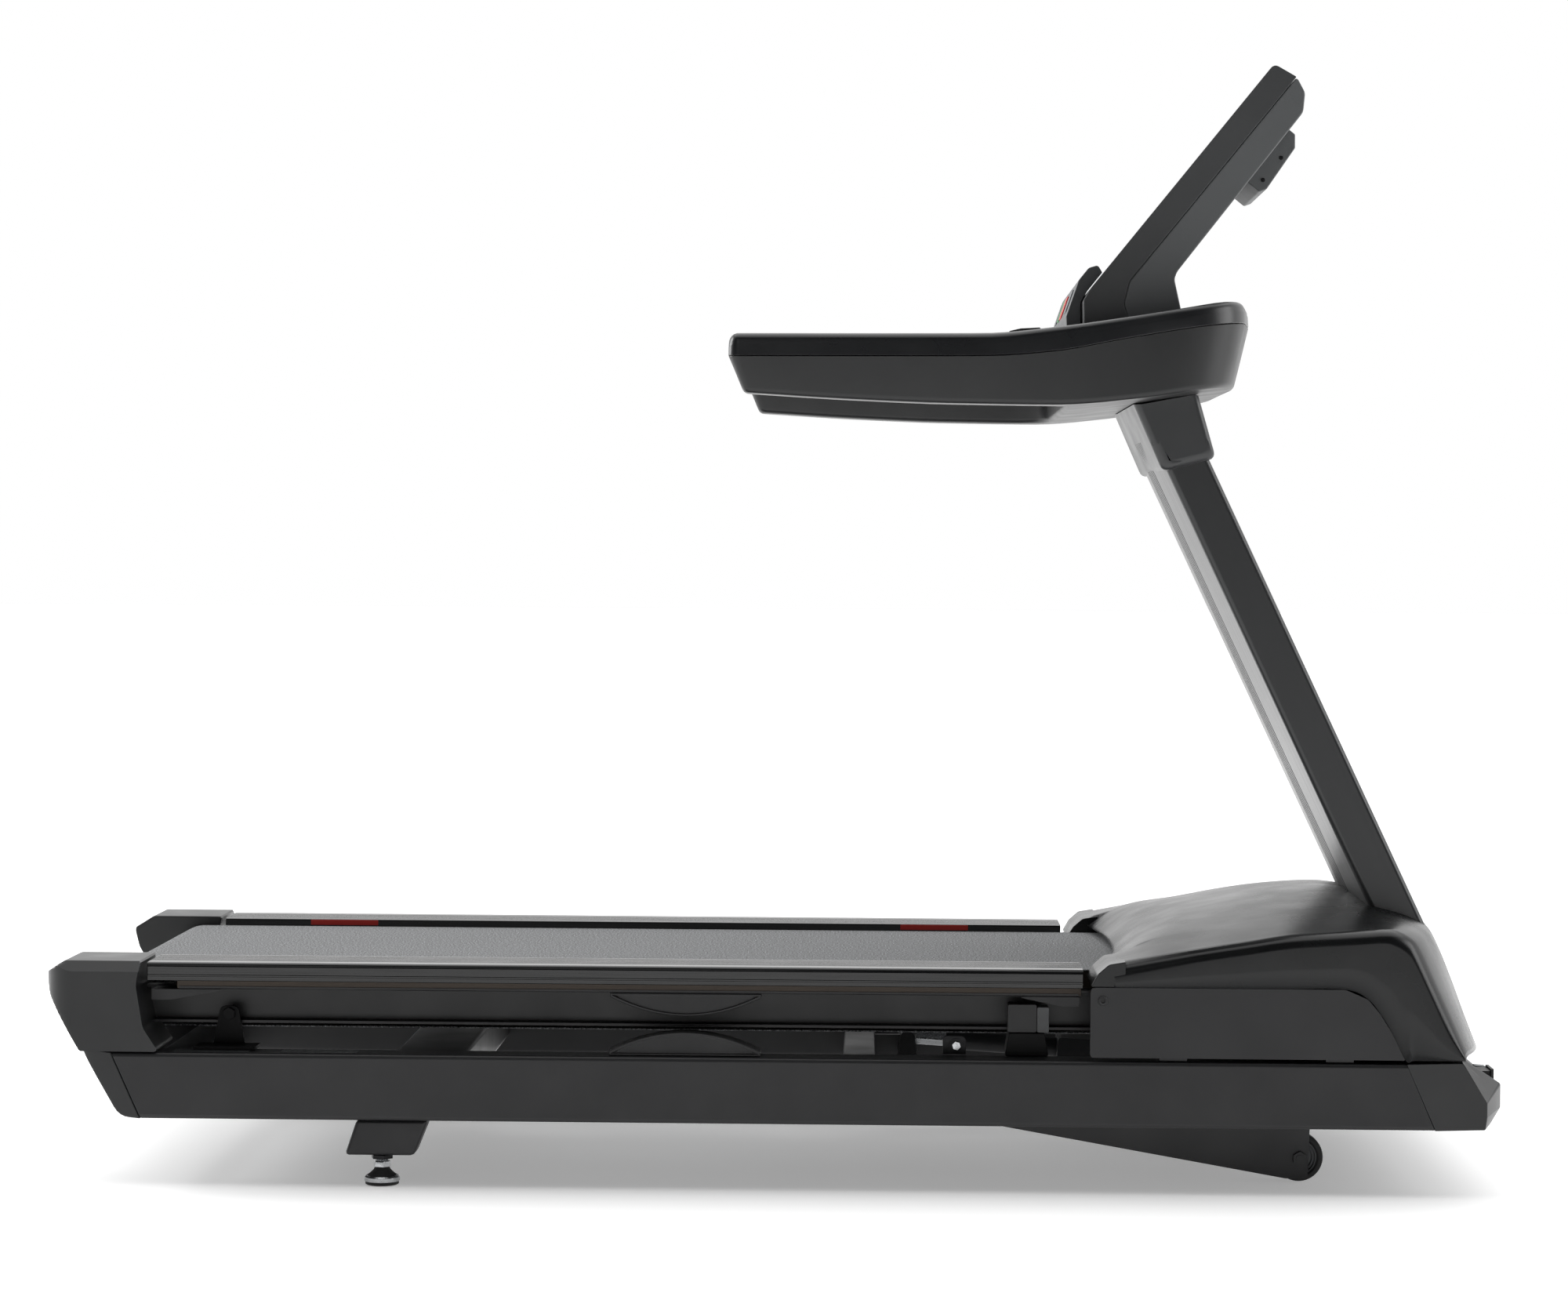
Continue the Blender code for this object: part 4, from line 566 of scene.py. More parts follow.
def extruded(outline: Sequence[Point], low: float, high: float, place: Callable,
             width: float = 0.6 * MM, segments: int = 2) -> bmesh.types.BMesh:
    """Extrude a flat outline and round its rims.

    Args:
        outline: The outline's points (u, v).
        low: Where the extrusion starts.
        high: Where it ends.
        place: Turns (u, v, w) into a point in space.
        width: Rim rounding in metres.
        segments: Segments in the rim's rounding.

    Returns:
        The solid as a bmesh.
    """
    work = lofted([[place(u, v, w) for u, v in outline] for w in (low, high)])
    bmesh.ops.recalc_face_normals(work, faces=work.faces)
    if width:
        rims = [e for e in work.edges if any(len(f.verts) == len(outline) and len(outline) > 4
                                             or e.calc_face_angle(0) > 0.9 for f in e.link_faces)
                and e.calc_face_angle(0) > 0.9]
        bmesh.ops.bevel(work, geom=rims, offset=width, segments=segments, profile=0.5,
                        affect="EDGES", clamp_overlap=True)
    return work


def side_on(u: float, v: float, w: float) -> tuple[float, float, float]:
    """Place an outline drawn in side view: u forwards, v up, w across."""
    return (u, w, v)


def plan(u: float, v: float, w: float) -> tuple[float, float, float]:
    """Place an outline drawn from above: u forwards, v across, w up."""
    return (u, v, w)


def lathe(profile: Sequence[Point], centre: Sequence[float], axis: Sequence[float],
          steps: int = 48) -> bmesh.types.BMesh:
    """Turn a profile of (radius, height) round an axis.

    Args:
        profile: Points from one end to the other; a radius of 0 closes that end.
        centre: The point of height 0 on the axis.
        axis: The axis that heights run along.
        steps: Segments round the piece.

    Returns:
        The turned skin as a bmesh.
    """
    up = Vector(axis).normalized()
    out = up.orthogonal().normalized()
    across = up.cross(out)
    work = bmesh.new()
    rows = []
    for radius, height in profile:
        middle = Vector(centre) + up * height
        if radius <= 0:
            rows.append([work.verts.new(middle)] * steps)
            continue
        rows.append([work.verts.new(middle + (out * math.cos(a) + across * math.sin(a)) * radius)
                     for a in (math.tau * i / steps for i in range(steps))])
    for row, after in zip(rows, rows[1:]):
        for i in range(steps):
            corners = [row[i], row[(i + 1) % steps], after[(i + 1) % steps], after[i]]
            unique = list(dict.fromkeys(corners))
            if len(unique) > 2:
                work.faces.new(unique)
    return work


def fillet_profile(profile: Sequence[Point], radius: float, steps: int = 3) -> list[Point]:
    """Round the inner corners of a lathe profile, leaving its two ends."""
    return arc_corners(list(profile), [0] + [radius] * (len(profile) - 2) + [0], steps)


def hexagon(centre: Sequence[float], axis: Sequence[float], radius: float,
            height: float) -> bmesh.types.BMesh:
    """Return a hexagon head with chamfered corners, standing on a point along an axis."""
    up = Vector(axis).normalized()
    out = up.orthogonal().normalized()
    across = up.cross(out)
    rings = []
    for share, rise in ((1.0, 0.0), (1.0, 0.82), (0.93, 1.0)):
        rings.append([Vector(centre) + up * height * rise
                      + (out * math.cos(a) + across * math.sin(a)) * radius * share
                      for a in (math.tau * i / 6 for i in range(6))])
    work = lofted(rings)
    soften(work, 0.03 * radius, 20, 2)
    return work


def socket_screw(centre: Sequence[float], axis: Sequence[float], radius: float) -> bmesh.types.BMesh:
    """Return a low round screw head with a sunk drive, standing on a surface."""
    deep = radius * 0.45
    profile = [(0, deep * 0.15), (radius * 0.42, deep * 0.15), (radius * 0.46, deep),
               (radius * 0.82, deep * 0.92), (radius, deep * 0.45), (radius, -deep)]
    return lathe(profile, centre, axis, 24)


def in_line(line: Sequence[Point], x: float) -> float:
    """Read a height off a smooth line of (x, z) points, with monotone cubic pieces."""
    xs, zs = [p[0] for p in line], [p[1] for p in line]
    if x <= xs[0]:
        return zs[0]
    if x >= xs[-1]:
        return zs[-1]
    index = max(i for i in range(len(xs) - 1) if xs[i] <= x)
    gaps = [(zs[i + 1] - zs[i]) / (xs[i + 1] - xs[i]) for i in range(len(xs) - 1)]

    def slope(i: int) -> float:
        """Slope at a point, flat where the line turns back."""
        if i == 0 or i == len(xs) - 1:
            return gaps[min(i, len(gaps) - 1)]
        left, right = gaps[i - 1], gaps[i]
        return 0.0 if left * right <= 0 else 2 * left * right / (left + right)

    span = xs[index + 1] - xs[index]
    t = (x - xs[index]) / span
    return ((1 + 2 * t) * (1 - t) ** 2 * zs[index] + t * (1 - t) ** 2 * span * slope(index)
            + t * t * (3 - 2 * t) * zs[index + 1] + t * t * (t - 1) * span * slope(index + 1))


def blend_rows(rows: Sequence[Sequence[Vector]], steps: int) -> list[list[Vector]]:
    """Add smooth rows between rows of matching points.

    Args:
        rows: Rows with the same number of points each.
        steps: How many rows each gap turns into.

    Returns:
        The denser rows, first and last included.
    """
    result = []
    last = len(rows) - 1
    for i in range(last):
        before, here, after, beyond = (rows[min(max(k, 0), last)] for k in (i - 1, i, i + 1, i + 2))
        for step in range(steps):
            t = step / steps
            result.append([0.5 * (2 * q + (r - p) * t + (2 * p - 5 * q + 4 * r - z) * t * t
                                  + (3 * q - p - 3 * r + z) * t ** 3)
                           for p, q, r, z in zip(before, here, after, beyond)])
    result.append(list(rows[-1]))
    return result


def rimmed_arch(middle: float, flat: float, up: int, low: float, high: float,
                sign: int) -> bmesh.types.BMesh:
    """Return a moulded arch with a raised rim round its outer face.

    Args:
        middle: Where its middle stands along the machine.
        flat: Height of its flat side.
        up: 1 for an arch that bulges up, -1 for one that hangs.
        low: Its right side across the machine.
        high: Its left side.
        sign: The side that its outer face looks to.

    Returns:
        The arch as a bmesh.
    """
    half, ends, rise, steps = 0.110, 0.0065, 0.0335, 28
    face, back = (low, high) if sign < 0 else (high, low)
    rings = []
    for inset, depth in ((0.0, back), (0.0, face - sign * 0.0012), (0.0012, face), (0.0030, face),
                         (0.0036, face - sign * 0.0035), (0.0046, face - sign * 0.0038)):
        ring = [(middle - half + inset, flat + up * inset), (middle + half - inset, flat + up * inset)]
        for step in range(steps + 1):
            t = 1 - 2 * step / steps
            crest = ends + (rise - ends) * (1 - t * t)
            ring.append((middle + (half - inset) * t, flat + up * max(inset * 1.01, crest - inset)))
        rings.append([(x, depth, z) for x, z in ring])
    return lofted(rings)


def even(line: Sequence[Point], count: int) -> list[Vector]:
    """Space points evenly along a line."""
    spots = [Vector(p) for p in line]
    runs = [0.0]
    for a, b in zip(spots, spots[1:]):
        runs.append(runs[-1] + (b - a).length)
    result, index = [], 0
    for step in range(count):
        reach = runs[-1] * step / (count - 1)
        while index < len(spots) - 2 and runs[index + 1] < reach:
            index += 1
        share = (reach - runs[index]) / max(runs[index + 1] - runs[index], 1e-9)
        result.append(spots[index].lerp(spots[index + 1], min(1.0, share)))
    return result


# ------------------------------------------------------------------ sub-assemblies
@dataclass
class BaseFrame:
    """Welded base: side tubes, crossmembers, legs, end caps and what is bolted to them."""

    bump_x: float = -0.127
    isolator_keep: float = 0.50
    bolt_x: float = 0.268
    plates: tuple[tuple[float, float], ...] = ((-0.872, -0.762), (-0.716, -0.604))

    def build(self) -> None:
        """Build the base's pieces."""
        for side, sign in SIDES.items():
            refined(f"base_tube_{side}", PALETTE.frame_paint, Slot.FRAME, 0.8 * MM, 50)
            refined(f"rear_leg_{side}", PALETTE.frame_paint, Slot.FRAME, 0.5 * MM, 50)
            refined(f"rear_cap_{side}", PALETTE.cap, Slot.CAP, 2.0 * MM, 40)
            self.build_front_cap(side, sign)
            self.build_end_cap(side, sign)
            # The pivot and the isolator take the inner finish, whose extra darkness is painted shade
            refined(f"deck_pivot_{side}", PALETTE.inner, Slot.STEEL, 0.5 * MM, 40)
            isolator = refined(f"deck_isolator_{side}", PALETTE.inner, Slot.RUBBER, 1.5 * MM, 30)
            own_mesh(isolator)
            self.build_bump_stop(side, sign)
            self.build_bolts(side, sign)
        for node in ("rear_crossmember", "tail_crossmember", "lift_crossmember", "front_crossmember"):
            refined(node, PALETTE.frame_paint, Slot.FRAME, 0.8 * MM, 50)
        refined("motor_controller", PALETTE.motor, Slot.MOTOR, 0.8 * MM)
        refined("power_inlet", PALETTE.bracket, Slot.RUBBER, 0.6 * MM)
        self.build_plates()
        self.build_dust_shield()
        self.build_belly_pan()

    def build_dust_shield(self) -> None:
        """Folded plate that closes the base between the side tubes at the tail."""
        fold = arc_corners([(-0.998, 0.1900), (-0.944, 0.1010), (-0.900, 0.1010), (-0.900, 0.1035),
                            (-0.9425, 0.1035), (-0.9945, 0.1905)], [0, 0.006, 0, 0, 0.004, 0], 4)
        reach = TUBE_IN - 1 * MM
        plate = extruded(fold, -reach, reach, side_on, 0.5 * MM)
        # The shield takes the inner finish, whose extra darkness is painted shade
        new_piece("tail_dust_shield", to_mesh(plate, "shield"), PALETTE.inner, Slot.FRAME,
                  Body.BASE.value)

    def build_belly_pan(self) -> None:
        """Folded pan under the motor bay, its nose leaning back behind the tubes' caps."""
        sheet = 0.0025
        rear, face, back = NOSE - 0.42, NOSE - 0.006, NOSE - 0.048
        outer = arc_corners([(rear, TUBE_BASE), (face - 0.024, TUBE_BASE), (face, 0.1300),
                             (face, 0.1590), (back, 0.1855)], [0, 0.03, 0.02, 0.004, 0], 6)
        inner = arc_corners([(back - sheet, 0.1830), (face - sheet, 0.1575), (face - sheet, 0.1310),
                             (face - 0.025, TUBE_BASE + sheet), (rear, TUBE_BASE + sheet)],
                            [0, 0.003, 0.018, 0.028, 0], 6)
        reach = TUBE_IN - 0.3 * MM
        pan = extruded([*outer, *inner], -reach, reach, side_on, 0.4 * MM)
        piece = new_piece("belly_pan_sheet", to_mesh(pan, "pan"), PALETTE.frame_paint, Slot.FRAME,
                          Body.BASE.value)
        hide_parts("belly_pan")

    def build_front_cap(self, side: str, sign: int) -> None:
        """Moulded nose of a side tube: flat facets that run in from the outer face."""
        top, low = (0.9158, TUBE_TOP), (0.9573, TUBE_BASE)
        outer = [top, (0.9967, 0.1960), (1.0313, 0.1380), (1.0313, 0.1180), (1.0290, 0.0995), low]
        inner = [top, (1.0020, 0.1970), (1.0600, 0.1600), (1.0600, 0.1250), (1.0450, 0.0995), low]
        radii = [0, 0.006, 0.006, 0.004, 0.003, 0]
        joint, middle = 0.96, 0.14
        faces = [arc_corners(line, radii, 5) for line in (outer, inner)]
        rings = []
        for share, inset in ((0, 0.0012), (0.006, 0.0004), (0.02, 0), (0.3, 0), (0.6, 0), (0.98, 0),
                             (0.994, 0.0004), (1, 0.0012)):
            y = sign * (SIDE + (TUBE_IN - SIDE) * share)
            ring = []
            for (xo, zo), (xi, zi) in zip(*faces):
                x, z = xo + (xi - xo) * share, zo + (zi - zo) * share
                ring.append((x - inset * (x > joint), y, z + inset * (1 if z < middle else -1)))
            rings.append(ring)
        piece = new_piece(f"front_cap_{side}_moulding", to_mesh(lofted(rings), "front_cap"),
                          PALETTE.cap, Slot.CAP, Body.BASE.value, 28)
        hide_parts(f"front_cap_{side}")

    def build_end_cap(self, side: str, sign: int) -> None:
        """Moulded cap over a rail's rear end, rounded in plan and chamfered along its outer top."""
        roof, floor_z = 0.326, TUBE_TOP + 1 * MM
        corners = arc_corners(
            [(TAIL + 0.054, floor_z), (TAIL + 0.169, floor_z), (TAIL + 0.146, floor_z + 0.035),
             (TAIL + 0.136, roof - 0.036), (TAIL + 0.141, roof), (TAIL + 0.030, roof),
             (TAIL, roof - 0.019), (TAIL, roof - 0.026), (TAIL + 0.006, roof - 0.050)],
            [0.004, 0.004, 0.03, 0.03, 0.003, 0.012, 0.004, 0.004, 0.02], 6)
        outline = even([*corners, corners[0]], 160)[:-1]
        inner, turn, edge, chamfer, steps = 0.2825, 0.045, 0.0022, 0.0135, 14
        width = SIDE - inner
        spread = [0.0, 0.0006, edge, 0.02, 0.045, width - turn]
        spread += [width - turn + turn * math.sin(math.pi / 2 * step / steps)
                   for step in range(1, steps + 1)]
        middle = (TAIL + 0.09, 0.265)
        rings = []
        for across in spread:
            y = inner + across
            past = max(0.0, across - (width - turn))
            rear = TAIL + turn - math.sqrt(max(turn ** 2 - past ** 2, 0.0))
            top = roof - max(0.0, across - (width - chamfer)) * 1.1
            inset = edge - math.sqrt(max(edge ** 2 - max(0.0, edge - across) ** 2, 0.0))
            ring = []
            for x, z in outline:
                x += inset * (1 if x < middle[0] else -1)
                z += inset * (1 if z < middle[1] else -1)
                ring.append((max(x, rear), sign * y, min(z, top)))
            rings.append(ring)
        piece = new_piece(f"rail_end_cap_{side}_moulding", to_mesh(lofted(rings), "end_cap"),
                          PALETTE.cap, Slot.CAP, Body.BASE.value, 32)
        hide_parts(f"rail_end_cap_{side}")

    def build_bump_stop(self, side: str, sign: int) -> None:
        """Low rimmed arch that stops the deck."""
        low, high = sorted((sign * 0.3590, sign * 0.4025))
        foot = TUBE_TOP + 0.0003
        piece = new_piece(f"bump_stop_{side}_arch", to_mesh(
            rimmed_arch(self.bump_x, foot, 1, low, high, sign), "bump_stop"),
            PALETTE.bracket, Slot.RUBBER, Body.BASE.value)
        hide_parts(f"bump_stop_{side}")

    def build_bolts(self, side: str, sign: int) -> None:
        """Zinc hexagon bolt on a black washer and lug, beside each isolator."""
        face, x, z = sign * 0.352, self.bolt_x, TUBE_TOP + 0.013
        out = (0, sign, 0)
        lug = extruded(arc_corners([(x - 0.020, TUBE_TOP), (x + 0.014, TUBE_TOP),
                                    (x + 0.014, z + 0.014), (x - 0.020, z + 0.014)],
                                   [0, 0, 0.008, 0.008]), *sorted((face, face - sign * 0.003)),
                       side_on)
        washer = lathe([(0.0045, 0), (0.0105, 0), (0.0105, 0.0012), (0.0045, 0.0014)],
                       (x, face, z), out, 28)
        bolt = hexagon((x, face + sign * 0.0012, z), out, 0.0068, 0.0042)
        for tag, work, finish in (("bracket", lug, PALETTE.black_oxide),
                                  ("washer", washer, PALETTE.black_oxide),
                                  ("bolt", bolt, PALETTE.zinc)):
            new_piece(f"isolator_{tag}_{side}", to_mesh(work, tag), finish, Slot.STEEL,
                      Body.BASE.value)

    def build_plates(self) -> None:
        """Blank foil plates stuck to the top of the near side tube."""
        for index, (rear, front) in enumerate(self.plates):
            outline = arc_corners([(rear, -0.404), (front, -0.404), (front, -0.368), (rear, -0.368)],
                                  0.003)
            plate = extruded(outline, TUBE_TOP, TUBE_TOP + 0.0006, plan, 0.2 * MM)
            new_piece(f"blank_plate_{index + 1}", to_mesh(plate, "plate"), PALETTE.foil, Slot.STEEL,
                      Body.BASE.value)


@dataclass
class Deck:
    """Everything that moves as one: board, belt, rails, channels and the drive."""

    belt_half: float = 0.278
    belt_thick: float = 2.5 * MM
    roller_z: float = 0.2642
    loop_radius: float = 0.0453
    rear_roller: float = -0.945
    front_roller: float = 0.600
    rail_out: float = 0.390
    rail_top: float = 0.323
    rail_rear: float = -0.912
    rail_front: float = 0.450
    board_bottom: float = 0.2842
    rib_count: int = 7
    red_runs: tuple[tuple[float, float], ...] = ((-0.772, -0.662), (0.190, 0.300))

    def build(self) -> None:
        """Build the deck's pieces."""
        self.build_belt()
        for side, sign in SIDES.items():
            refined(f"deck_member_{side}", PALETTE.deck_paint, Slot.FRAME, 0.6 * MM, 50)
            self.build_rail(side, sign)
            self.build_edge_clip(side, sign)
            self.build_brackets(side, sign)
            self.build_red_strips(side, sign)
            self.build_stop(side, sign)
            self.build_isolator_shoe(side, sign)
        refined("deck_board", PALETTE.board, Slot.BOARD, 0.8 * MM)
        refined("drive_motor", PALETTE.motor, Slot.MOTOR, 0.6 * MM)
        refined("motor_plate", PALETTE.zinc, Slot.STEEL, 0.4 * MM)
        refined("drive_belt", PALETTE.rubber, Slot.RUBBER, 0.4 * MM, 60)
        for node in ("drive_shaft", "idler_shaft"):
            refined(node, PALETTE.zinc, Slot.STEEL, 0.6 * MM, 60)
        for node in ("drive_roller", "idler_roller"):
            refined(node, PALETTE.roller, Slot.STEEL, 0.4 * MM, 60)
        refined("motor_flywheel", PALETTE.motor, Slot.MOTOR, 0.4 * MM, 60)

    def build_belt(self) -> None:
        """The belt: one endless loop with slightly rounded edges."""
        half, thick = self.belt_half, self.belt_thick
        rings = []
        for across, depth in ((-half, 0.2), (-half, 0.7), (-half + 0.0012, 1.0), (half - 0.0012, 1.0),
                              (half, 0.7), (half, 0.2), (half - 0.0008, 0.0), (-half + 0.0008, 0.0)):
            radius = self.loop_radius + thick * depth
            ring = []
            for middle, start in ((self.front_roller, -math.pi / 2), (self.rear_roller, math.pi / 2)):
                for step in range(33):
                    angle = start + math.pi * step / 32
                    ring.append((middle + radius * math.cos(angle), across,
                                 self.roller_z + radius * math.sin(angle)))
            rings.append(ring)
        rings.append(rings[0])
        work = lofted(rings, caps=False)
        bmesh.ops.remove_doubles(work, verts=work.verts, dist=1e-6)
        piece = new_piece("belt_loop", to_mesh(work, "belt"), PALETTE.belt, Slot.BELT,
                          Body.DECK.value, 50)
        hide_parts("running_belt")

    def rail_profile(self, sign: int) -> list[Point]:
        """Cross-section of a foot rail as (across, up), with its ribs and rolled outer edge."""
        top = self.rail_top
        inside, outside = RAIL_IN, self.rail_out
        lip = self.board_bottom + 0.0253
        points = [(inside, lip), (inside, top - 0.0025), (inside + 0.0008, top - 0.0006),
                  (inside + 0.0025, top)]
        pitch = (outside - inside - 0.030) / self.rib_count
        for rib in range(self.rib_count):
            start = inside + 0.008 + rib * pitch
            for along, drop in ((0, 0), (0.0008, 0.0003), (0.0016, 0.0011), (0.0026, 0.0014),
                                (0.0046, 0.0014), (0.0056, 0.0011), (0.0064, 0.0003), (0.0072, 0)):
                points.append((start + along, top - drop))
        for step in range(9):
            angle = math.pi / 2 * step / 8
            points.append((outside - 0.006 + 0.006 * math.sin(angle),
                           top - 0.007 + 0.007 * math.cos(angle)))
        points += [(outside, top - 0.0175), (outside - 0.0010, top - 0.0185),
                   (outside - 0.0010, top - 0.0205), (outside, top - 0.0215),
                   (outside, top - 0.0262), (outside - 0.0008, top - 0.0270),
                   (outside - 0.0090, top - 0.0270), (outside - 0.0097, top - 0.0262),
                   (outside - 0.0097, lip)]
        return [(sign * y, z) for y, z in points]

    def build_rail(self, side: str, sign: int) -> None:
        """One foot rail with softened ends."""
        profile = self.rail_profile(sign)
        middle = (sign * (RAIL_IN + self.rail_out) / 2, self.rail_top - 0.006)
        rings = []
        for x, share in ((self.rail_rear, 0.990), (self.rail_rear + 0.0012, 1.0),
                         (self.rail_front - 0.0012, 1.0), (self.rail_front, 0.990)):
            rings.append([(x, middle[0] + (y - middle[0]) * share, middle[1] + (z - middle[1]) * share)
                          for y, z in profile])
        piece = new_piece(f"foot_rail_{side}_moulding", to_mesh(lofted(rings), "rail"), PALETTE.rail,
                          Slot.RAIL, Body.DECK.value, 40)
        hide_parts(f"foot_rail_{side}")

    def build_edge_clip(self, side: str, sign: int) -> None:
        """Thin moulded clip strip folded under the board's edge."""
        bottom = self.board_bottom
        outline = [(0.3620, bottom), (0.3620, bottom - 0.0012), (0.3792, bottom - 0.0012),
                   (0.3812, bottom + 0.0006), (0.3812, bottom + 0.0030), (0.3802, bottom + 0.0030),
                   (0.3802, bottom + 0.0002), (0.3790, bottom)]
        rings = [[(x, sign * y, z) for y, z in outline]
                 for x in (self.rail_rear + 0.045, self.rail_front - 0.006)]
        new_piece(f"board_edge_clip_{side}", to_mesh(lofted(rings), "clip"), PALETTE.bracket,
                  Slot.RUBBER, Body.DECK.value)

    def build_brackets(self, side: str, sign: int) -> None:
        """Small triangular brackets under both ends of a rail."""
        low, high = sorted((sign * 0.3360, sign * 0.3780))
        top = self.board_bottom - 0.0016
        rear = [(-0.908, top), (-0.800, top), (-0.830, top - 0.006), (-0.880, top - 0.016),
                (-0.908, top - 0.016)]
        front = [(0.446, top), (0.446, top - 0.014), (0.420, top - 0.014), (0.350, top)]
        for end, outline in (("rear", rear), ("front", front)):
            shape = extruded(arc_corners(outline, 0.002, 3), low, high, side_on, 0.8 * MM)
            new_piece(f"rail_bracket_{end}_{side}", to_mesh(shape, end), PALETTE.bracket,
                      Slot.RUBBER, Body.DECK.value)

    def build_red_strips(self, side: str, sign: int) -> None:
        """Red marks let into the inner wall of each rail, which show the walker's zone."""
        face = sign * (RAIL_IN - 0.0006)
        back = sign * (RAIL_IN + 0.0010)
        low, high = sorted((face, back))
        for index, (rear, front) in enumerate(self.red_runs):
            outline = arc_corners([(rear, self.rail_top - 0.0095), (front, self.rail_top - 0.0095),
                                   (front, self.rail_top - 0.0012), (rear, self.rail_top - 0.0012)],
                                  0.0012, 4)
            new_piece(f"rail_mark_{index + 1}_{side}", to_mesh(
                extruded(outline, low, high, side_on, 0.2 * MM), "mark"), PALETTE.red, Slot.RED,
                Body.DECK.value)

    def build_stop(self, side: str, sign: int) -> None:
        """Hanging arch that meets the stop on the base."""
        low, high = sorted((sign * 0.3400, sign * 0.3795))
        new_piece(f"deck_stop_{side}", to_mesh(
            rimmed_arch(-0.127, self.board_bottom - 0.0014, -1, low, high, sign), "stop"),
            PALETTE.bracket, Slot.RUBBER, Body.DECK.value)

    def build_isolator_shoe(self, side: str, sign: int) -> None:
        """Folded shoe that bears on the rubber isolator, with a pressed-in grey liner."""
        low, high = sorted((sign * 0.3330, sign * 0.3690))
        shoe = extruded(arc_corners([(0.342, 0.2292), (0.3842, 0.2292), (0.3842, 0.2700),
                                     (0.342, 0.2700)], 0.003, 4), low, high, side_on, 1.0 * MM)
        new_piece(f"isolator_shoe_{side}", to_mesh(shoe, "shoe"), PALETTE.bracket, Slot.RUBBER,
                  Body.DECK.value)
        liner = extruded(arc_corners([(0.3848, 0.2292), (0.4020, 0.2292), (0.4020, 0.2660),
                                      (0.3848, 0.2660)], 0.0025, 4), low, high, side_on, 1.0 * MM)
        new_piece(f"isolator_liner_{side}", to_mesh(liner, "liner"), PALETTE.liner, Slot.RUBBER,
                  Body.DECK.value)


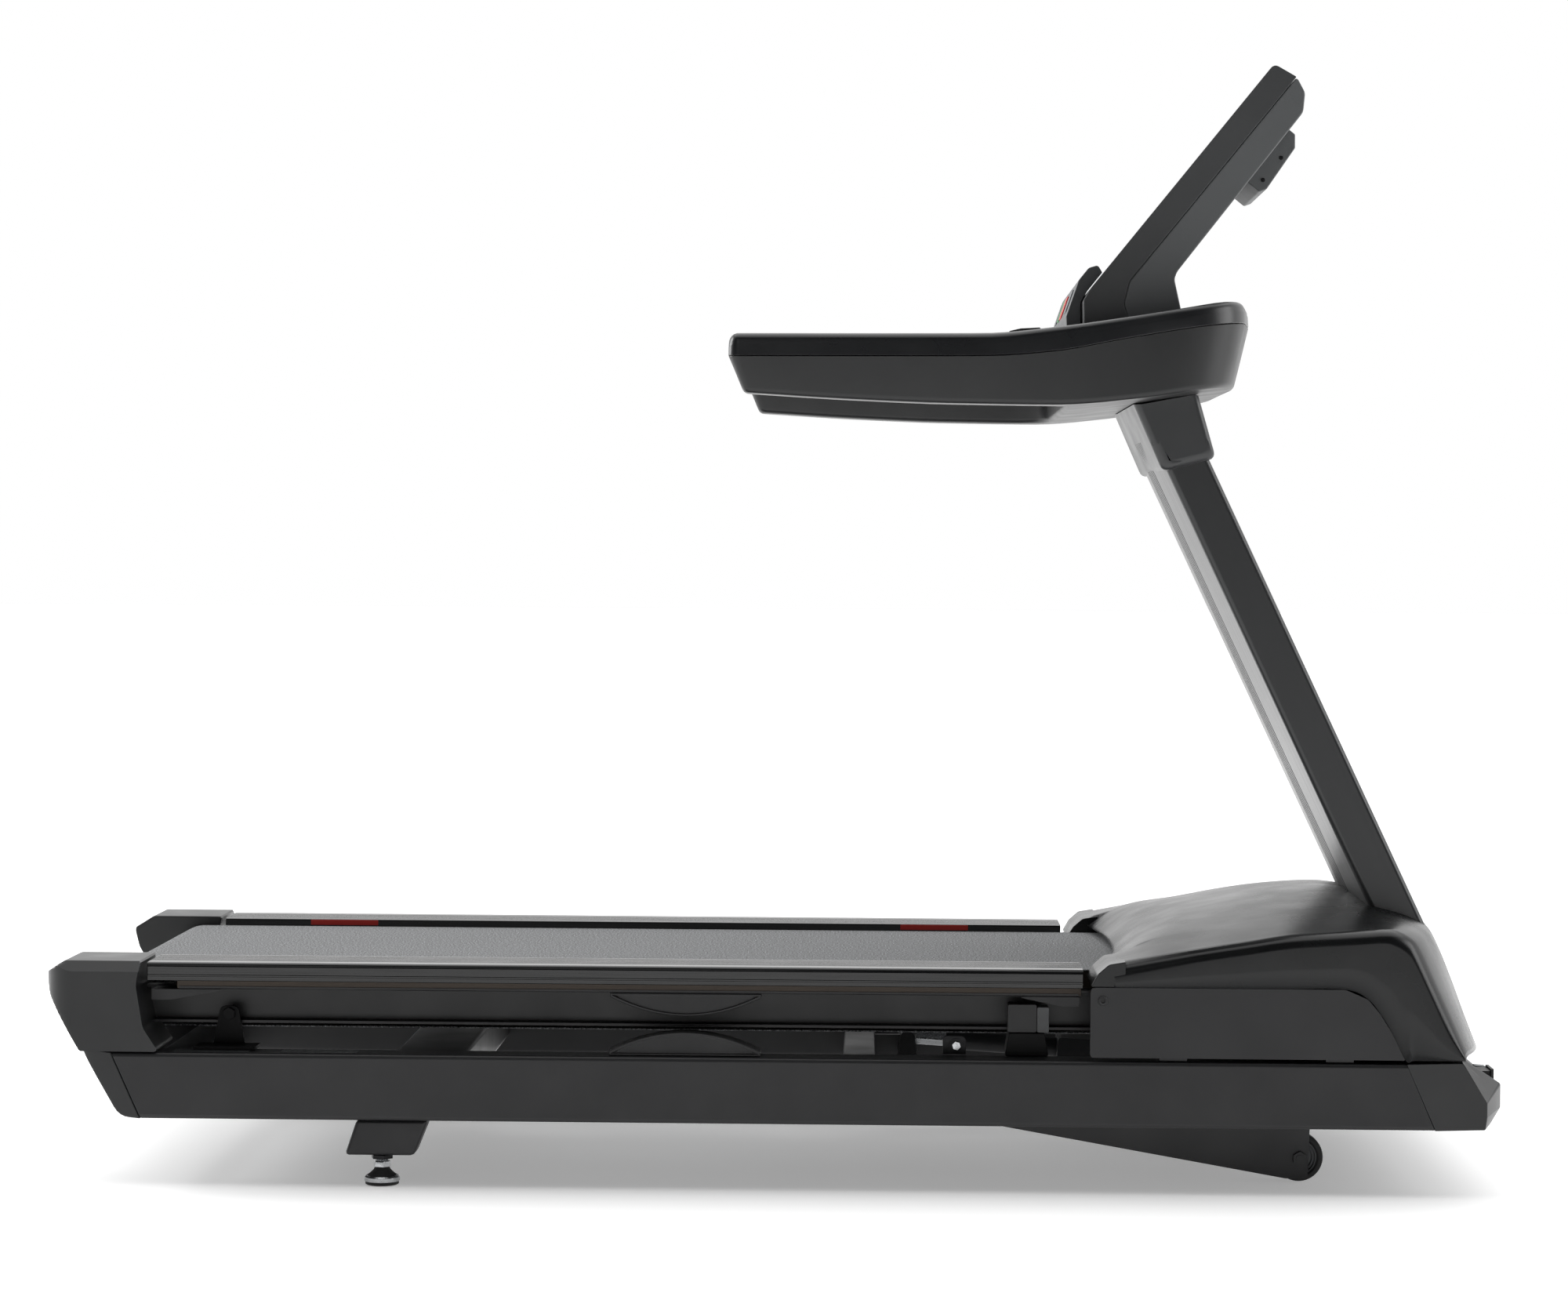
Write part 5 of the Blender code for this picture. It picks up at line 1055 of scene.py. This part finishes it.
@dataclass
class Lift:
    """The incline's swinging frame, wheels, motor and screw tube, and the levelling feet."""

    wheel: tuple[float, float, float] = (0.777, 0.263, 0.036)
    wheel_radius: float = 0.036
    wheel_half: float = 0.013
    foot: tuple[float, float] = (-0.569, 0.378)
    stem_radius: float = 0.009
    stem_top: float = 0.0852

    def build(self) -> None:
        """Build the lift's and the feet's pieces."""
        refined("lift_frame", PALETTE.frame_paint, Slot.FRAME, 0.5 * MM, 50)
        refined("lift_motor", PALETTE.motor, Slot.MOTOR, 0.5 * MM, 50)
        refined("lift_screw_tube", PALETTE.zinc, Slot.STEEL, 0.3 * MM, 60)
        for side, sign in SIDES.items():
            self.build_wheel(side, sign)
            self.build_foot(side, sign)

    def build_wheel(self, side: str, sign: int) -> None:
        """Rubber tyre on a grey nylon hub with raised rings."""
        x, y, z = self.wheel
        centre, out = (x, sign * y, z), (0, sign, 0)
        half, radius = self.wheel_half, self.wheel_radius
        tyre = fillet_profile([(0.0262, half - 0.002), (0.0290, half), (radius - 0.001, half - 0.001),
                               (radius, half - 0.005), (radius, -half + 0.005),
                               (radius - 0.001, -half + 0.001), (0.0290, -half),
                               (0.0262, -half + 0.002)], 0.002)
        hub = [(0.0064, half - 0.001), (0.0120, half - 0.001), (0.0130, half - 0.002),
               (0.0136, half - 0.0055), (0.0190, half - 0.0060), (0.0196, half - 0.0030),
               (0.0212, half - 0.0026), (0.0218, half - 0.0058), (0.0238, half - 0.0060),
               (0.0243, half - 0.0020), (0.0261, half - 0.0014), (0.0261, -half + 0.0014),
               (0.0243, -half + 0.0020), (0.0230, -half + 0.0060), (0.0136, -half + 0.0055),
               (0.0120, -half + 0.001), (0.0064, -half + 0.001)]
        for tag, profile, finish in (("tyre", tyre, PALETTE.tyre), ("hub", hub, PALETTE.hub)):
            piece = new_piece(f"lift_wheel_{side}_{tag}", to_mesh(
                lathe([*profile, profile[0]], centre, out, 56), tag), finish, Slot.RUBBER,
                f"lift_wheel_{side}", 40)
            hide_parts(f"lift_wheel_{side}")

    def build_foot(self, side: str, sign: int) -> None:
        """Levelling foot: rubber pad, zinc cup, black cone, hexagon and threaded stem."""
        x, y = self.foot
        centre, up = (x, sign * y, 0), (0, 0, 1)
        stem = self.stem_radius
        pad = fillet_profile([(0, 0.0), (0.0225, 0.0), (0.0245, 0.0012), (0.0245, 0.0056),
                              (0, 0.0056)], 0.0008)
        cup = fillet_profile([(0, 0.0050), (0.0252, 0.0050), (0.0260, 0.0062), (0.0260, 0.0112),
                              (0.0236, 0.0136), (0, 0.0136)], 0.0010)
        cone = fillet_profile([(0, 0.0130), (0.0226, 0.0135), (0.0180, 0.0166), (0.0128, 0.0215),
                               (0.0100, 0.0264), (0, 0.0264)], 0.0015)
        thread = [(0, 0.0340)]
        turns, pitch = 16, 0.0015
        for turn in range(turns):
            base = 0.0345 + turn * pitch
            thread += [(stem - 0.0009, base), (stem, base + pitch * 0.5)]
        thread += [(stem - 0.0009, 0.0345 + turns * pitch), (stem - 0.0009, self.stem_top),
                   (0, self.stem_top)]
        pieces = [("pad", lathe(pad, centre, up, 56), PALETTE.rubber, Slot.RUBBER),
                  ("cup", lathe(cup, centre, up, 56), PALETTE.zinc, Slot.STEEL),
                  ("cone", lathe(cone, centre, up, 56), PALETTE.tyre, Slot.RUBBER),
                  ("hexagon", hexagon((x, sign * y, 0.0262), up, 0.0133, 0.0083), PALETTE.zinc,
                   Slot.STEEL),
                  ("stem", lathe(thread, centre, up, 40), PALETTE.zinc, Slot.STEEL)]
        for tag, work, finish, slot in pieces:
            piece = new_piece(f"levelling_foot_{side}_{tag}", to_mesh(work, tag), finish, slot,
                              f"foot_{side}", 35)
            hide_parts(f"levelling_foot_{side}")
        nut = hexagon((x, sign * y, 0.0380), up, 0.0165, 0.0064)
        new_piece(f"foot_lock_nut_{side}", to_mesh(nut, "nut"), PALETTE.black_oxide, Slot.STEEL,
                  f"foot_{side}", 35)


@dataclass
class Hood:
    """Motor hood and its side panels."""

    half: float = 0.4147
    wall_low: float = 0.107
    shell: float = 3 * MM
    row_steps: int = 5
    # side place back from the nose, foot above its line, wall top, centre place back, centre top
    stations: tuple[tuple[float, float, float, float, float], ...] = (
        (0.5665, 0.0, 0.1405, 0.547, 0.129), (0.530, 0.0, 0.1475, 0.515, 0.158),
        (0.485, 0.0, 0.156, 0.460, 0.181), (0.444, 0.0, 0.164, 0.410, 0.1925),
        (0.380, 0.0, 0.174, 0.355, 0.206), (0.314, 0.0, 0.184, 0.290, 0.2155),
        (0.2335, 0.0, 0.1895, 0.220, 0.221), (0.201, -0.014, 0.1918, 0.175, 0.2165),
        (0.1835, -0.035, 0.193, 0.140, 0.207), (0.167, -0.061, 0.191, 0.110, 0.196),
        (0.1465, -0.102, 0.1795, 0.080, 0.1785), (0.134, -0.102, 0.163, 0.062, 0.146),
        (0.110, -0.102, 0.113, 0.042, 0.096), (0.085, -0.102, 0.061, 0.024, 0.046),
        (0.060, -0.102, 0.0115, 0.008, 0.0045))

    def build(self) -> None:
        """Build the hood's pieces."""
        self.build_shell()
        for side, sign in SIDES.items():
            self.build_wing(side, sign)
            refined(f"side_panel_{side}", PALETTE.panel, Slot.HOOD, 0.9 * MM, 40)
            plug = socket_screw((0.4775, sign * (self.half + 0.0001), 0.2815), (0, sign, 0), 0.0072)
            new_piece(f"panel_plug_{side}", to_mesh(plug, "plug"), PALETTE.bracket, Slot.RUBBER,
                      Body.BASE.value)

    def share(self, y: float) -> float:
        """How far across the crown a place is: 1 at the centre and 0 at the shoulder."""
        shoulder = self.half - 0.022
        return 1 - (min(abs(y), shoulder) / shoulder) ** 2.2

    def row(self, index: int) -> list[Vector]:
        """One row of the hood's skin from its right foot over the crown to its left foot."""
        back, rise, wall, mid_back, mid = self.stations[index]
        foot_z = TUBE_TOP + self.wall_low + rise
        wall_top, mid_top = TUBE_TOP + wall, TUBE_TOP + mid
        knee = max(wall_top - 0.020, foot_z + 0.001)
        half = [(self.half, foot_z), (self.half, foot_z + (knee - foot_z) * 0.5), (self.half, knee)]
        for step in range(1, 6):
            angle = math.pi / 2 * step / 6
            half.append((self.half - 0.022 * (1 - math.cos(angle)),
                         max(knee + 0.0005 * step, knee + (wall_top - knee) * math.sin(angle))))
        shoulder = self.half - 0.022
        places = [shoulder * t for t in (1, 0.97, 0.94, 0.90, 0.86, 0.81, 0.77)]
        places += [RAIL_IN + 0.003, RAIL_IN - 0.001]
        places += [RAIL_IN * t for t in (0.93, 0.85, 0.77, 0.68, 0.59, 0.5, 0.4, 0.3, 0.2, 0.1)]
        for y in places:
            share = self.share(y)
            if index == 0:
                share = 1.0 if y < RAIL_IN else 0.0
            half.append((y, wall_top + (mid_top - wall_top) * share))
        line = half + [(0.0, mid_top)] + [(-y, z) for y, z in reversed(half)]
        result = []
        for y, z in line:
            if index < 3:
                bow = max(0.0, 1 - (abs(y) / RAIL_IN) ** 2)
            else:
                bow = 1 - min(abs(y) / self.half, 1) ** 3
            result.append(Vector((NOSE - back + (back - mid_back) * bow, -y, z)))
        return result

    def build_shell(self) -> None:
        """The crowned shell, skinned through smooth rows and given its wall thickness."""
        rows = blend_rows([self.row(i) for i in range(len(self.stations))], self.row_steps)
        work = lofted(rows, closed=False, caps=False)
        bmesh.ops.recalc_face_normals(work, faces=work.faces)
        if sum(face.normal.z for face in work.faces) < 0:
            bmesh.ops.reverse_faces(work, faces=work.faces)
        mesh = bpy.data.meshes.new("motor_hood")
        work.to_mesh(mesh)
        work.free()
        piece = new_piece("motor_hood_shell", mesh, PALETTE.hood, Slot.HOOD, Body.BASE.value, 60)
        skin = piece.modifiers.new("Solidify", "SOLIDIFY")
        skin.thickness, skin.offset, skin.use_even_offset = self.shell, -1, True
        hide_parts("motor_hood")

    def build_wing(self, side: str, sign: int) -> None:
        """Rounded rear end of the hood that meets a foot rail."""
        low_z = TUBE_TOP + self.wall_low + 0.0005
        outline = arc_corners([
            (0.4597, low_z), (0.5100, low_z), (0.5100, TUBE_TOP + 0.1440),
            (0.4860, TUBE_TOP + 0.1400), (0.4700, TUBE_TOP + 0.1260)],
            [0.002, 0, 0, 0.012, 0.012], 6)
        low, high = sorted((sign * RAIL_IN, sign * (self.half - 0.0003)))
        wing = extruded(outline, low, high, side_on, 5.0 * MM, 4)
        piece = new_piece(f"hood_wing_{side}", to_mesh(wing, "wing"), PALETTE.hood, Slot.HOOD,
                          Body.BASE.value, 60)
        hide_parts("motor_hood")


@dataclass
class Mast:
    """The wide fluted extrusion and its collar."""

    foot: tuple[float, float] = (0.9518, 0.262)
    head: tuple[float, float] = (0.555, 1.10)
    half: float = 0.210
    depth: float = 0.065
    crown: float = 7 * MM
    corner: float = 11 * MM
    flute_band: float = 0.062
    flutes: int = 6
    flute_depth: float = 1.4 * MM
    collar_rear: float = 0.527

    def build(self) -> None:
        """Build the mast's pieces."""
        along = Vector((self.head[0] - self.foot[0], self.head[1] - self.foot[1]))
        length = along.length
        along.normalize()
        square = Vector((along.y, -along.x))
        base = Vector(self.foot) + square * self.depth / 2

        def place(u: float, v: float, w: float) -> tuple[float, float, float]:
            """Place a section point: u forwards through the mast, v across, w up its lean."""
            spot = base + square * u + along * w
            return (spot.x, v, spot.y)

        outline = self.section()
        rings = [[place(u, v, w) for u, v in outline] for w in (0.0, length / 2, length)]
        piece = new_piece("mast_extrusion", to_mesh(lofted(rings), "mast"), self.lined(), Slot.MAST,
                          Body.BASE.value, 35)
        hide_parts("mast")
        self.build_collar()

    def build_collar(self) -> None:
        """Moulded collar round the mast's head, with well-rounded corners."""
        outline = [(self.collar_rear, 1.1488), (0.571, 1.049), (0.651, 1.069), (0.624, 1.1630)]
        sides = even(arc_corners(outline, [0, 0.012, 0.012, 0], 8), 72)
        width, turn = 0.225, 0.012
        rings = []
        for step in range(-8, 9):
            share = abs(step) / 8
            angle = math.pi / 2 * share
            inset = turn * (1 - math.cos(angle))
            y = math.copysign(width - turn + turn * math.sin(angle), step) if step else 0.0
            rings.append([(x + inset * (1 if x < 0.59 else -0.9), y, z + inset * (z < 1.09))
                          for x, z in sides])
        piece = new_piece("mast_collar_moulding", to_mesh(lofted(rings), "collar"),
                          PALETTE.collar, Slot.CONSOLE, Body.BASE.value, 40)
        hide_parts("mast_collar")

    def lined(self) -> Finish:
        """The mast's finish, its die lines turned to the mast's lean."""
        lean = math.atan2(self.head[0] - self.foot[0], self.head[1] - self.foot[1])
        return AnodisedAluminium("black_anodised_aluminium", "#2a2b2c", 0.34, metallic=0.25,
                                 coat=0.25, coat_roughness=0.22, lean=-lean)

    def section(self) -> list[Point]:
        """Cross-section: crowned faces with a fluted band, and rounded long edges."""
        flat = self.half - self.corner
        front: list[Point] = []
        places = sorted({round(flat * (2 * i / 24 - 1), 6) for i in range(25)})
        band = [p for p in places if abs(p) > self.flute_band + 0.004]
        cell = 2 * self.flute_band / self.flutes
        for index in range(self.flutes):
            start = -self.flute_band + index * cell
            for share, deep in ((0.0, 0), (0.30, 0), (0.38, 1), (0.62, 1), (0.70, 0)):
                band.append(start + share * cell + deep * 1e-9)
        lows = set()
        for index in range(self.flutes):
            start = -self.flute_band + index * cell
            lows |= {round(start + 0.38 * cell, 6), round(start + 0.62 * cell, 6)}
        for v in sorted(band):
            rise = self.depth / 2 + self.crown * (1 - (v / flat) ** 2)
            front.append((rise - (self.flute_depth if round(v, 6) in lows else 0), v))
        edge = self.depth / 2 - 0.8 * self.corner
        corner = [(edge + 0.8 * self.corner * math.cos(a), flat + self.corner * math.sin(a))
                  for a in (math.pi / 2 * i / 8 for i in range(1, 9))]
        mirrored = [(u, -v) for u, v in reversed(corner)]
        side = mirrored + front + corner
        return side + [(-u, v) for u, v in side[::-1]]


@dataclass
class Console:
    """Horseshoe console: its lower shell, its top cover and what stands on them."""

    out: float = 0.420
    inner: float = 0.352
    rear: float = -0.069
    mouth: float = 0.420
    front: float = 0.700
    end_round: float = 0.016
    seam_gap: float = 0.4 * MM
    under: tuple[Point, ...] = ((-0.06, 1.155), (0.10, 1.1465), (0.26, 1.1412), (0.40, 1.140),
                                (0.527, 1.150), (0.624, 1.1635), (0.72, 1.174))
    seam: tuple[Point, ...] = ((-0.09, 1.208), (0.30, 1.210), (0.40, 1.217), (0.50, 1.235),
                               (0.60, 1.252), (0.72, 1.267))
    top: tuple[Point, ...] = ((-0.09, 1.241), (0.30, 1.243), (0.40, 1.252), (0.50, 1.266),
                              (0.58, 1.279), (0.66, 1.293), (0.72, 1.298))

    def build(self) -> None:
        """Build the console's pieces."""
        pairs = self.paths()
        self.build_shell("console_lower", pairs, PALETTE.console_low, False)
        self.build_shell("console_top", pairs, PALETTE.console, True)
        self.build_details()

    def paths(self) -> list[tuple[Vector, Vector]]:
        """Pair the horseshoe's outer and inner edges, from the right arm's end to the left's."""
        out, inn, straight = self.out, self.inner, self.mouth - 0.11
        outer = arc_corners([(straight, -out), (self.front - 0.03, -out), (self.front, -out * 0.45),
                             (self.front, out * 0.45), (self.front - 0.03, out), (straight, out)],
                            [0, 0.11, 0.25, 0.25, 0.11, 0], 10)
        inner = arc_corners([(straight, -inn), (self.mouth, -inn), (self.mouth, inn),
                             (straight, inn)], [0, 0.10, 0.10, 0], 14)
        arm = []
        for step in range(7):
            angle = math.pi / 2 * step / 6
            arm.append((self.rear + self.end_round * (1 - math.cos(angle)),
                        self.end_round * (1 - math.sin(angle))))
        arm += [(self.rear + self.end_round + (straight - self.rear - self.end_round) * t / 12, 0.0)
                for t in range(1, 12)]
        count = 72
        right = [(Vector((x, -out + inset)), Vector((x, -inn - inset))) for x, inset in arm]
        middle = list(zip(even(outer, count), even(inner, count)))
        left = [(Vector((o.x, -o.y)), Vector((i.x, -i.y))) for o, i in reversed(right)]
        return right + middle + left

    def build_shell(self, node: str, pairs: Sequence[tuple[Vector, Vector]], finish: Finish,
                    upper: bool) -> None:
        """Skin one half of the console through its cross-sections.

        Args:
            node: The solid that the half stands for.
            pairs: Outer and inner edge points of the horseshoe.
            finish: What it is made of.
            upper: True for the top cover, False for the lower shell.
        """
        rings = []
        for outer, inner in pairs:
            width = (inner - outer).length
            toward = (inner - outer).normalized()
            ring = []
            for inset, level, rise in self.section(width, upper):
                spot = outer + toward * inset
                ring.append(self.settle(spot, level, rise, upper))
            rings.append(ring)
        piece = new_piece(f"{node}_moulding", to_mesh(lofted(rings), node), finish, Slot.CONSOLE,
                          Body.BASE.value, 38)
        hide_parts(node)

    def section(self, width: float, upper: bool) -> list[tuple[float, float, float]]:
        """Cross-section as (inset, level, rise): level 0 is the seam and 1 the far face."""
        radius = min(0.0135 if upper else 0.0085, 0.35 * width)
        draft = 0.002 if upper else 0.006
        side = [(0.0009, 0.0, 0.0), (0.0, 0.0, 0.0009), (draft * 0.5, 0.5, 0.0)]
        for step in range(7):
            angle = math.pi / 2 * step / 6
            side.append((draft + radius * (1 - math.cos(angle)), 1.0,
                         -radius * (1 - math.sin(angle))))
        across = [(draft + radius + (width - 2 * (draft + radius)) * t / 14, 1.0, 0.0)
                  for t in range(1, 14)]
        return side + across + [(width - inset, level, rise) for inset, level, rise in reversed(side)]

    def settle(self, spot: Vector, level: float, rise: float, upper: bool) -> Point:
        """Turn a section point into a place, with the ends' lean and the rounded arm ends."""
        seam_z = in_line(self.seam, spot.x)
        far_z = in_line(self.top if upper else self.under, spot.x)
        radius = 0.014 if upper else 0.010
        near_end = max(0.0, radius - (spot.x - self.rear))
        far_z -= (1 if upper else -1) * (radius - math.sqrt(max(radius ** 2 - near_end ** 2, 0)))
        way = 1 if upper else -1
        start = seam_z + way * self.seam_gap
        z = start + (far_z - start) * level + way * rise
        x = spot.x
        if not upper:
            share = min(1.0, max(0.0, (seam_z - z) / (seam_z - far_z)))
            x += 0.019 * share * min(1.0, max(0.0, (0.25 - spot.x) / (0.25 - self.rear)))
            x -= 0.016 * share * min(1.0, max(0.0, (spot.x - 0.48) / (self.front - 0.48)))
        return (x, spot.y, z)

    def build_details(self) -> None:
        """Tray behind the display's foot and the small rests on the arms."""
        tray_low, tray_high = in_line(self.top, 0.50), in_line(self.top, 0.645)
        outline = [(0.500, tray_low + 0.0003), (0.640, tray_high - 0.0012), (0.652, tray_high + 0.0040),
                   (0.654, tray_high + 0.0030), (0.643, tray_high - 0.0040), (0.520, tray_low - 0.001)]
        lifted = [(x, z + 0.0035) for x, z in outline]
        tray = extruded(lifted, -0.262, 0.262, side_on, 0.5 * MM)
        new_piece("rear_tray", to_mesh(tray, "tray"), PALETTE.bracket, Slot.RUBBER, Body.BASE.value)
        for side, sign in SIDES.items():
            low, high = sorted((sign * 0.372, sign * 0.398))
            z = in_line(self.top, 0.36)
            rest = extruded(arc_corners([(0.330, z - 0.002), (0.382, z - 0.0005), (0.380, z + 0.0045),
                                         (0.352, z + 0.0030)], 0.002, 4), low, high, side_on, 0.8 * MM)
            new_piece(f"arm_rest_lug_{side}", to_mesh(rest, "lug"), PALETTE.bracket, Slot.RUBBER,
                      Body.BASE.value)


@dataclass
class Display:
    """The reclined display, its control pod and buttons."""

    foot: tuple[float, float] = (0.4855, 1.350)
    up: tuple[float, float] = (0.62796, 0.77824)
    length: float = 0.380
    half: float = 0.290
    front_depth: float = 0.038

    def at(self, along: float, depth: float) -> Point:
        """Return a place given up the display's lean and forwards through it."""
        return (self.foot[0] + self.up[0] * along + self.up[1] * depth,
                self.foot[1] + self.up[1] * along - self.up[0] * depth)

    def build(self) -> None:
        """Build the display's pieces."""
        self.build_housings()
        refined("screen_glass", PALETTE.glass, Slot.GLASS, 0.4 * MM)
        self.build_back_box()
        self.build_pod()
        refined("stop_button", PALETTE.red, Slot.RED, 0.4 * MM, 40)
        refined("start_button", PALETTE.green, Slot.GREEN, 0.4 * MM, 40)
        for node in ("incline_toggle", "speed_toggle", "power_switch"):
            refined(node, PALETTE.keys, Slot.KEYS, 0.4 * MM, 40)

    def build_housings(self) -> None:
        """Front and rear housings, drawn in side view and rounded at their sides."""
        gap, seam = 0.0003, self.front_depth
        rear_z, mid_z, front_z = 1.25654, 1.26782, 1.28120
        front = arc_corners([
            (0.449, rear_z), (0.448, 1.298), (0.458, 1.316), self.at(0, 0), self.at(self.length, 0),
            self.at(self.length + 0.006, seam - gap), self.at(0, seam - gap), (0.507, 1.293),
            (0.515, mid_z)], [0.004, 0.006, 0.02, 0.05, 0.010, 0.002, 0.02, 0.02, 0], 8)
        back = arc_corners([
            self.at(0, seam), self.at(self.length + 0.006, seam),
            self.at(self.length - 0.004, seam + 0.024), self.at(self.length - 0.028, seam + 0.040),
            self.at(0.055, seam + 0.045), (0.581, 1.330), (0.592, front_z), (0.5153, mid_z),
            (0.5073, 1.293)], [0.02, 0.004, 0.016, 0.020, 0.03, 0.015, 0.004, 0, 0.02], 8)
        for node, outline, finish, slot, rim in (
                ("display_front", front, PALETTE.display, Slot.CONSOLE, 3.0 * MM),
                ("display_back", back, PALETTE.display_back, Slot.DISPLAY, 3.0 * MM)):
            work = extruded(outline, -self.half, self.half, side_on, rim, 4)
            piece = new_piece(f"{node}_housing", to_mesh(work, node), finish, slot, Body.BASE.value, 35)
            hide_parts(node)

    def build_back_box(self) -> None:
        """Small screwed box on the back, near the top."""
        base = self.front_depth + 0.040
        corners = [self.at(0.245, base + 0.0035), self.at(0.346, base - 0.006),
                   self.at(0.346, base + 0.014), self.at(0.330, base + 0.027),
                   self.at(0.255, base + 0.033), self.at(0.245, base + 0.027)]
        box = extruded(arc_corners(corners, [0, 0, 0.004, 0.006, 0.006, 0.004], 5), -0.120, 0.120,
                       side_on, 2.0 * MM, 3)
        new_piece("display_back_box", to_mesh(box, "box"), PALETTE.display_back, Slot.DISPLAY,
                  Body.BASE.value)
        for index, along in enumerate((0.262, 0.305)):
            x, z = self.at(along, base + 0.020)
            for side, sign in SIDES.items():
                screw = socket_screw((x, sign * 0.1201, z), (0, sign, 0), 0.0032)
                new_piece(f"back_box_screw_{index + 1}_{side}", to_mesh(screw, "screw"),
                          PALETTE.black_oxide, Slot.STEEL, Body.BASE.value)

    def build_pod(self) -> None:
        """Control pod that hugs the display's face and carries the keys."""
        outline = arc_corners([
            (0.4260, 1.2562), (0.4250, 1.2780), (0.4435, 1.3320), (0.4580, 1.3500), (0.4715, 1.3540),
            (0.4782, 1.3432), (0.4570, 1.3172), (0.4468, 1.2985), (0.4472, 1.2590)],
            [0, 0.006, 0.020, 0.010, 0.005, 0.002, 0.010, 0.006, 0], 6)
        reach = max(corner[1] for corner in frame["nodes"]["control_pod"].bound_box)
        work = extruded(outline, -reach, reach, side_on, 1.5 * MM, 3)
        piece = new_piece("control_pod_moulding", to_mesh(work, "pod"), PALETTE.pod, Slot.DISPLAY,
                          Body.BASE.value, 38)
        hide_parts("control_pod")


# ------------------------------------------------------------------ studio
@dataclass
class Studio:
    """Plain pale floor, soft light and the camera."""

    focal: float = 87.07
    stand: tuple[float, float, float] = (0.141, -5.88, 0.919)
    turn: tuple[float, float, float] = (1.46, -0.36, 1.34)
    floor_half: float = 60.0
    floor_glow: float = 0.30
    canopy: float = 1.55
    canopy_spread: float = 75.0
    sky: float = 1.0
    near_sky: float = 0.03

    def build(self) -> None:
        """Set up the stage."""
        self.place_camera()
        self.lay_floor()
        self.hang_lights()
        self.hang_canopy()
        self.light_world()

    def place_camera(self) -> None:
        """Stand the camera off the machine's right side."""
        lens = bpy.data.cameras.new("studio_camera")
        lens.lens = self.focal
        lens.sensor_width = 36
        camera = bpy.data.objects.new("studio_camera", lens)
        camera.location = self.stand
        down, roll, yaw = (math.radians(a) for a in self.turn)
        camera.rotation_euler = (math.pi / 2 - down, roll, yaw)
        bpy.context.scene.collection.objects.link(camera)
        bpy.context.scene.camera = camera

    def lay_floor(self) -> None:
        """Lay a wide pale floor just under the feet."""
        half = self.floor_half
        work = lofted([[(-half, edge, 0), (half, edge, 0)] for edge in (-half, half)],
                      closed=False, caps=False)
        floor = bpy.data.objects.new("studio_floor", to_mesh(work, "studio_floor"))
        floor.location.z = -0.0005
        bpy.context.scene.collection.objects.link(floor)
        paint = bpy.data.materials.new("pale_studio_floor")
        paint.use_nodes = True
        shader = paint.node_tree.nodes["Principled BSDF"]
        shader.inputs["Base Color"].default_value = linear("#f4f4f4")
        shader.inputs["Roughness"].default_value = 0.9
        shader.inputs["Emission Color"].default_value = (1, 1, 1, 1)
        shader.inputs["Emission Strength"].default_value = self.floor_glow
        floor.data.materials.append(paint)

    def hang_lights(self) -> None:
        """Hang softboxes off the tail, off the nose and beside the machine."""
        boxes = (("rear_softbox", (-4.2, 1.6, 2.4), (0, 0, 0.8), 2.6, 2.6, 125.0),
                 ("front_softbox", (4.2, -0.6, 2.2), (0.4, 0, 0.8), 2.2, 2.6, 60.0),
                 ("key_softbox", (-1.6, -5.4, 3.6), (0, 0, 0.6), 3.2, 2.0, 12.0))
        for name, spot, aim, width, height, power in boxes:
            lamp = bpy.data.lights.new(name, "AREA")
            lamp.shape = "RECTANGLE"
            lamp.size, lamp.size_y = width, height
            lamp.energy = power
            light = bpy.data.objects.new(name, lamp)
            light.location = spot
            toward = Vector(aim) - Vector(spot)
            light.rotation_euler = toward.to_track_quat("-Z", "Y").to_euler()
            bpy.context.scene.collection.objects.link(light)

    def hang_canopy(self) -> None:
        """One very broad overhead light, which also throws the soft shadow under the machine."""
        lamp = bpy.data.lights.new("overhead_canopy", "SUN")
        lamp.energy = self.canopy
        lamp.angle = math.radians(self.canopy_spread)
        light = bpy.data.objects.new("overhead_canopy", lamp)
        light.rotation_euler = (math.radians(-14), 0, 0)
        bpy.context.scene.collection.objects.link(light)

    def light_world(self) -> None:
        """Bright surround behind and above the machine, dim on the side that faces the eye."""
        world = bpy.data.worlds.new("studio_surround")
        bpy.context.scene.world = world
        world.use_nodes = True
        tree = world.node_tree
        way = add_node(tree, "TexCoord").outputs["Generated"]
        depth = add_node(tree, "SeparateXYZ", links={0: way}).outputs["Y"]
        strength = add_node(tree, "MapRange", {"From Min": -0.5, "From Max": 0.45,
                                               "To Min": self.near_sky, "To Max": self.sky,
                                               "interpolation_type": "SMOOTHSTEP"},
                            {"Value": depth}).outputs[0]
        tree.nodes["Background"].inputs["Color"].default_value = (1, 1, 1, 1)
        tree.links.new(strength, tree.nodes["Background"].inputs["Strength"])
        bpy.context.scene.view_settings.view_transform = "Standard"


def main() -> None:
    """Build every sub-assembly in order and report each piece."""
    logging.basicConfig(level=logging.INFO, format="%(name)s: %(message)s")
    assemblies: Iterable = (Studio(), BaseFrame(), Deck(), Lift(), Hood(), Mast(), Console(),
                            Display())
    for assembly in assemblies:
        before = set(bpy.data.objects)
        assembly.build()
        for piece in sorted(o.name for o in set(bpy.data.objects) - before):
            log.info("%s: %s", type(assembly).__name__, piece)


if __name__ == "__main__":
    main()
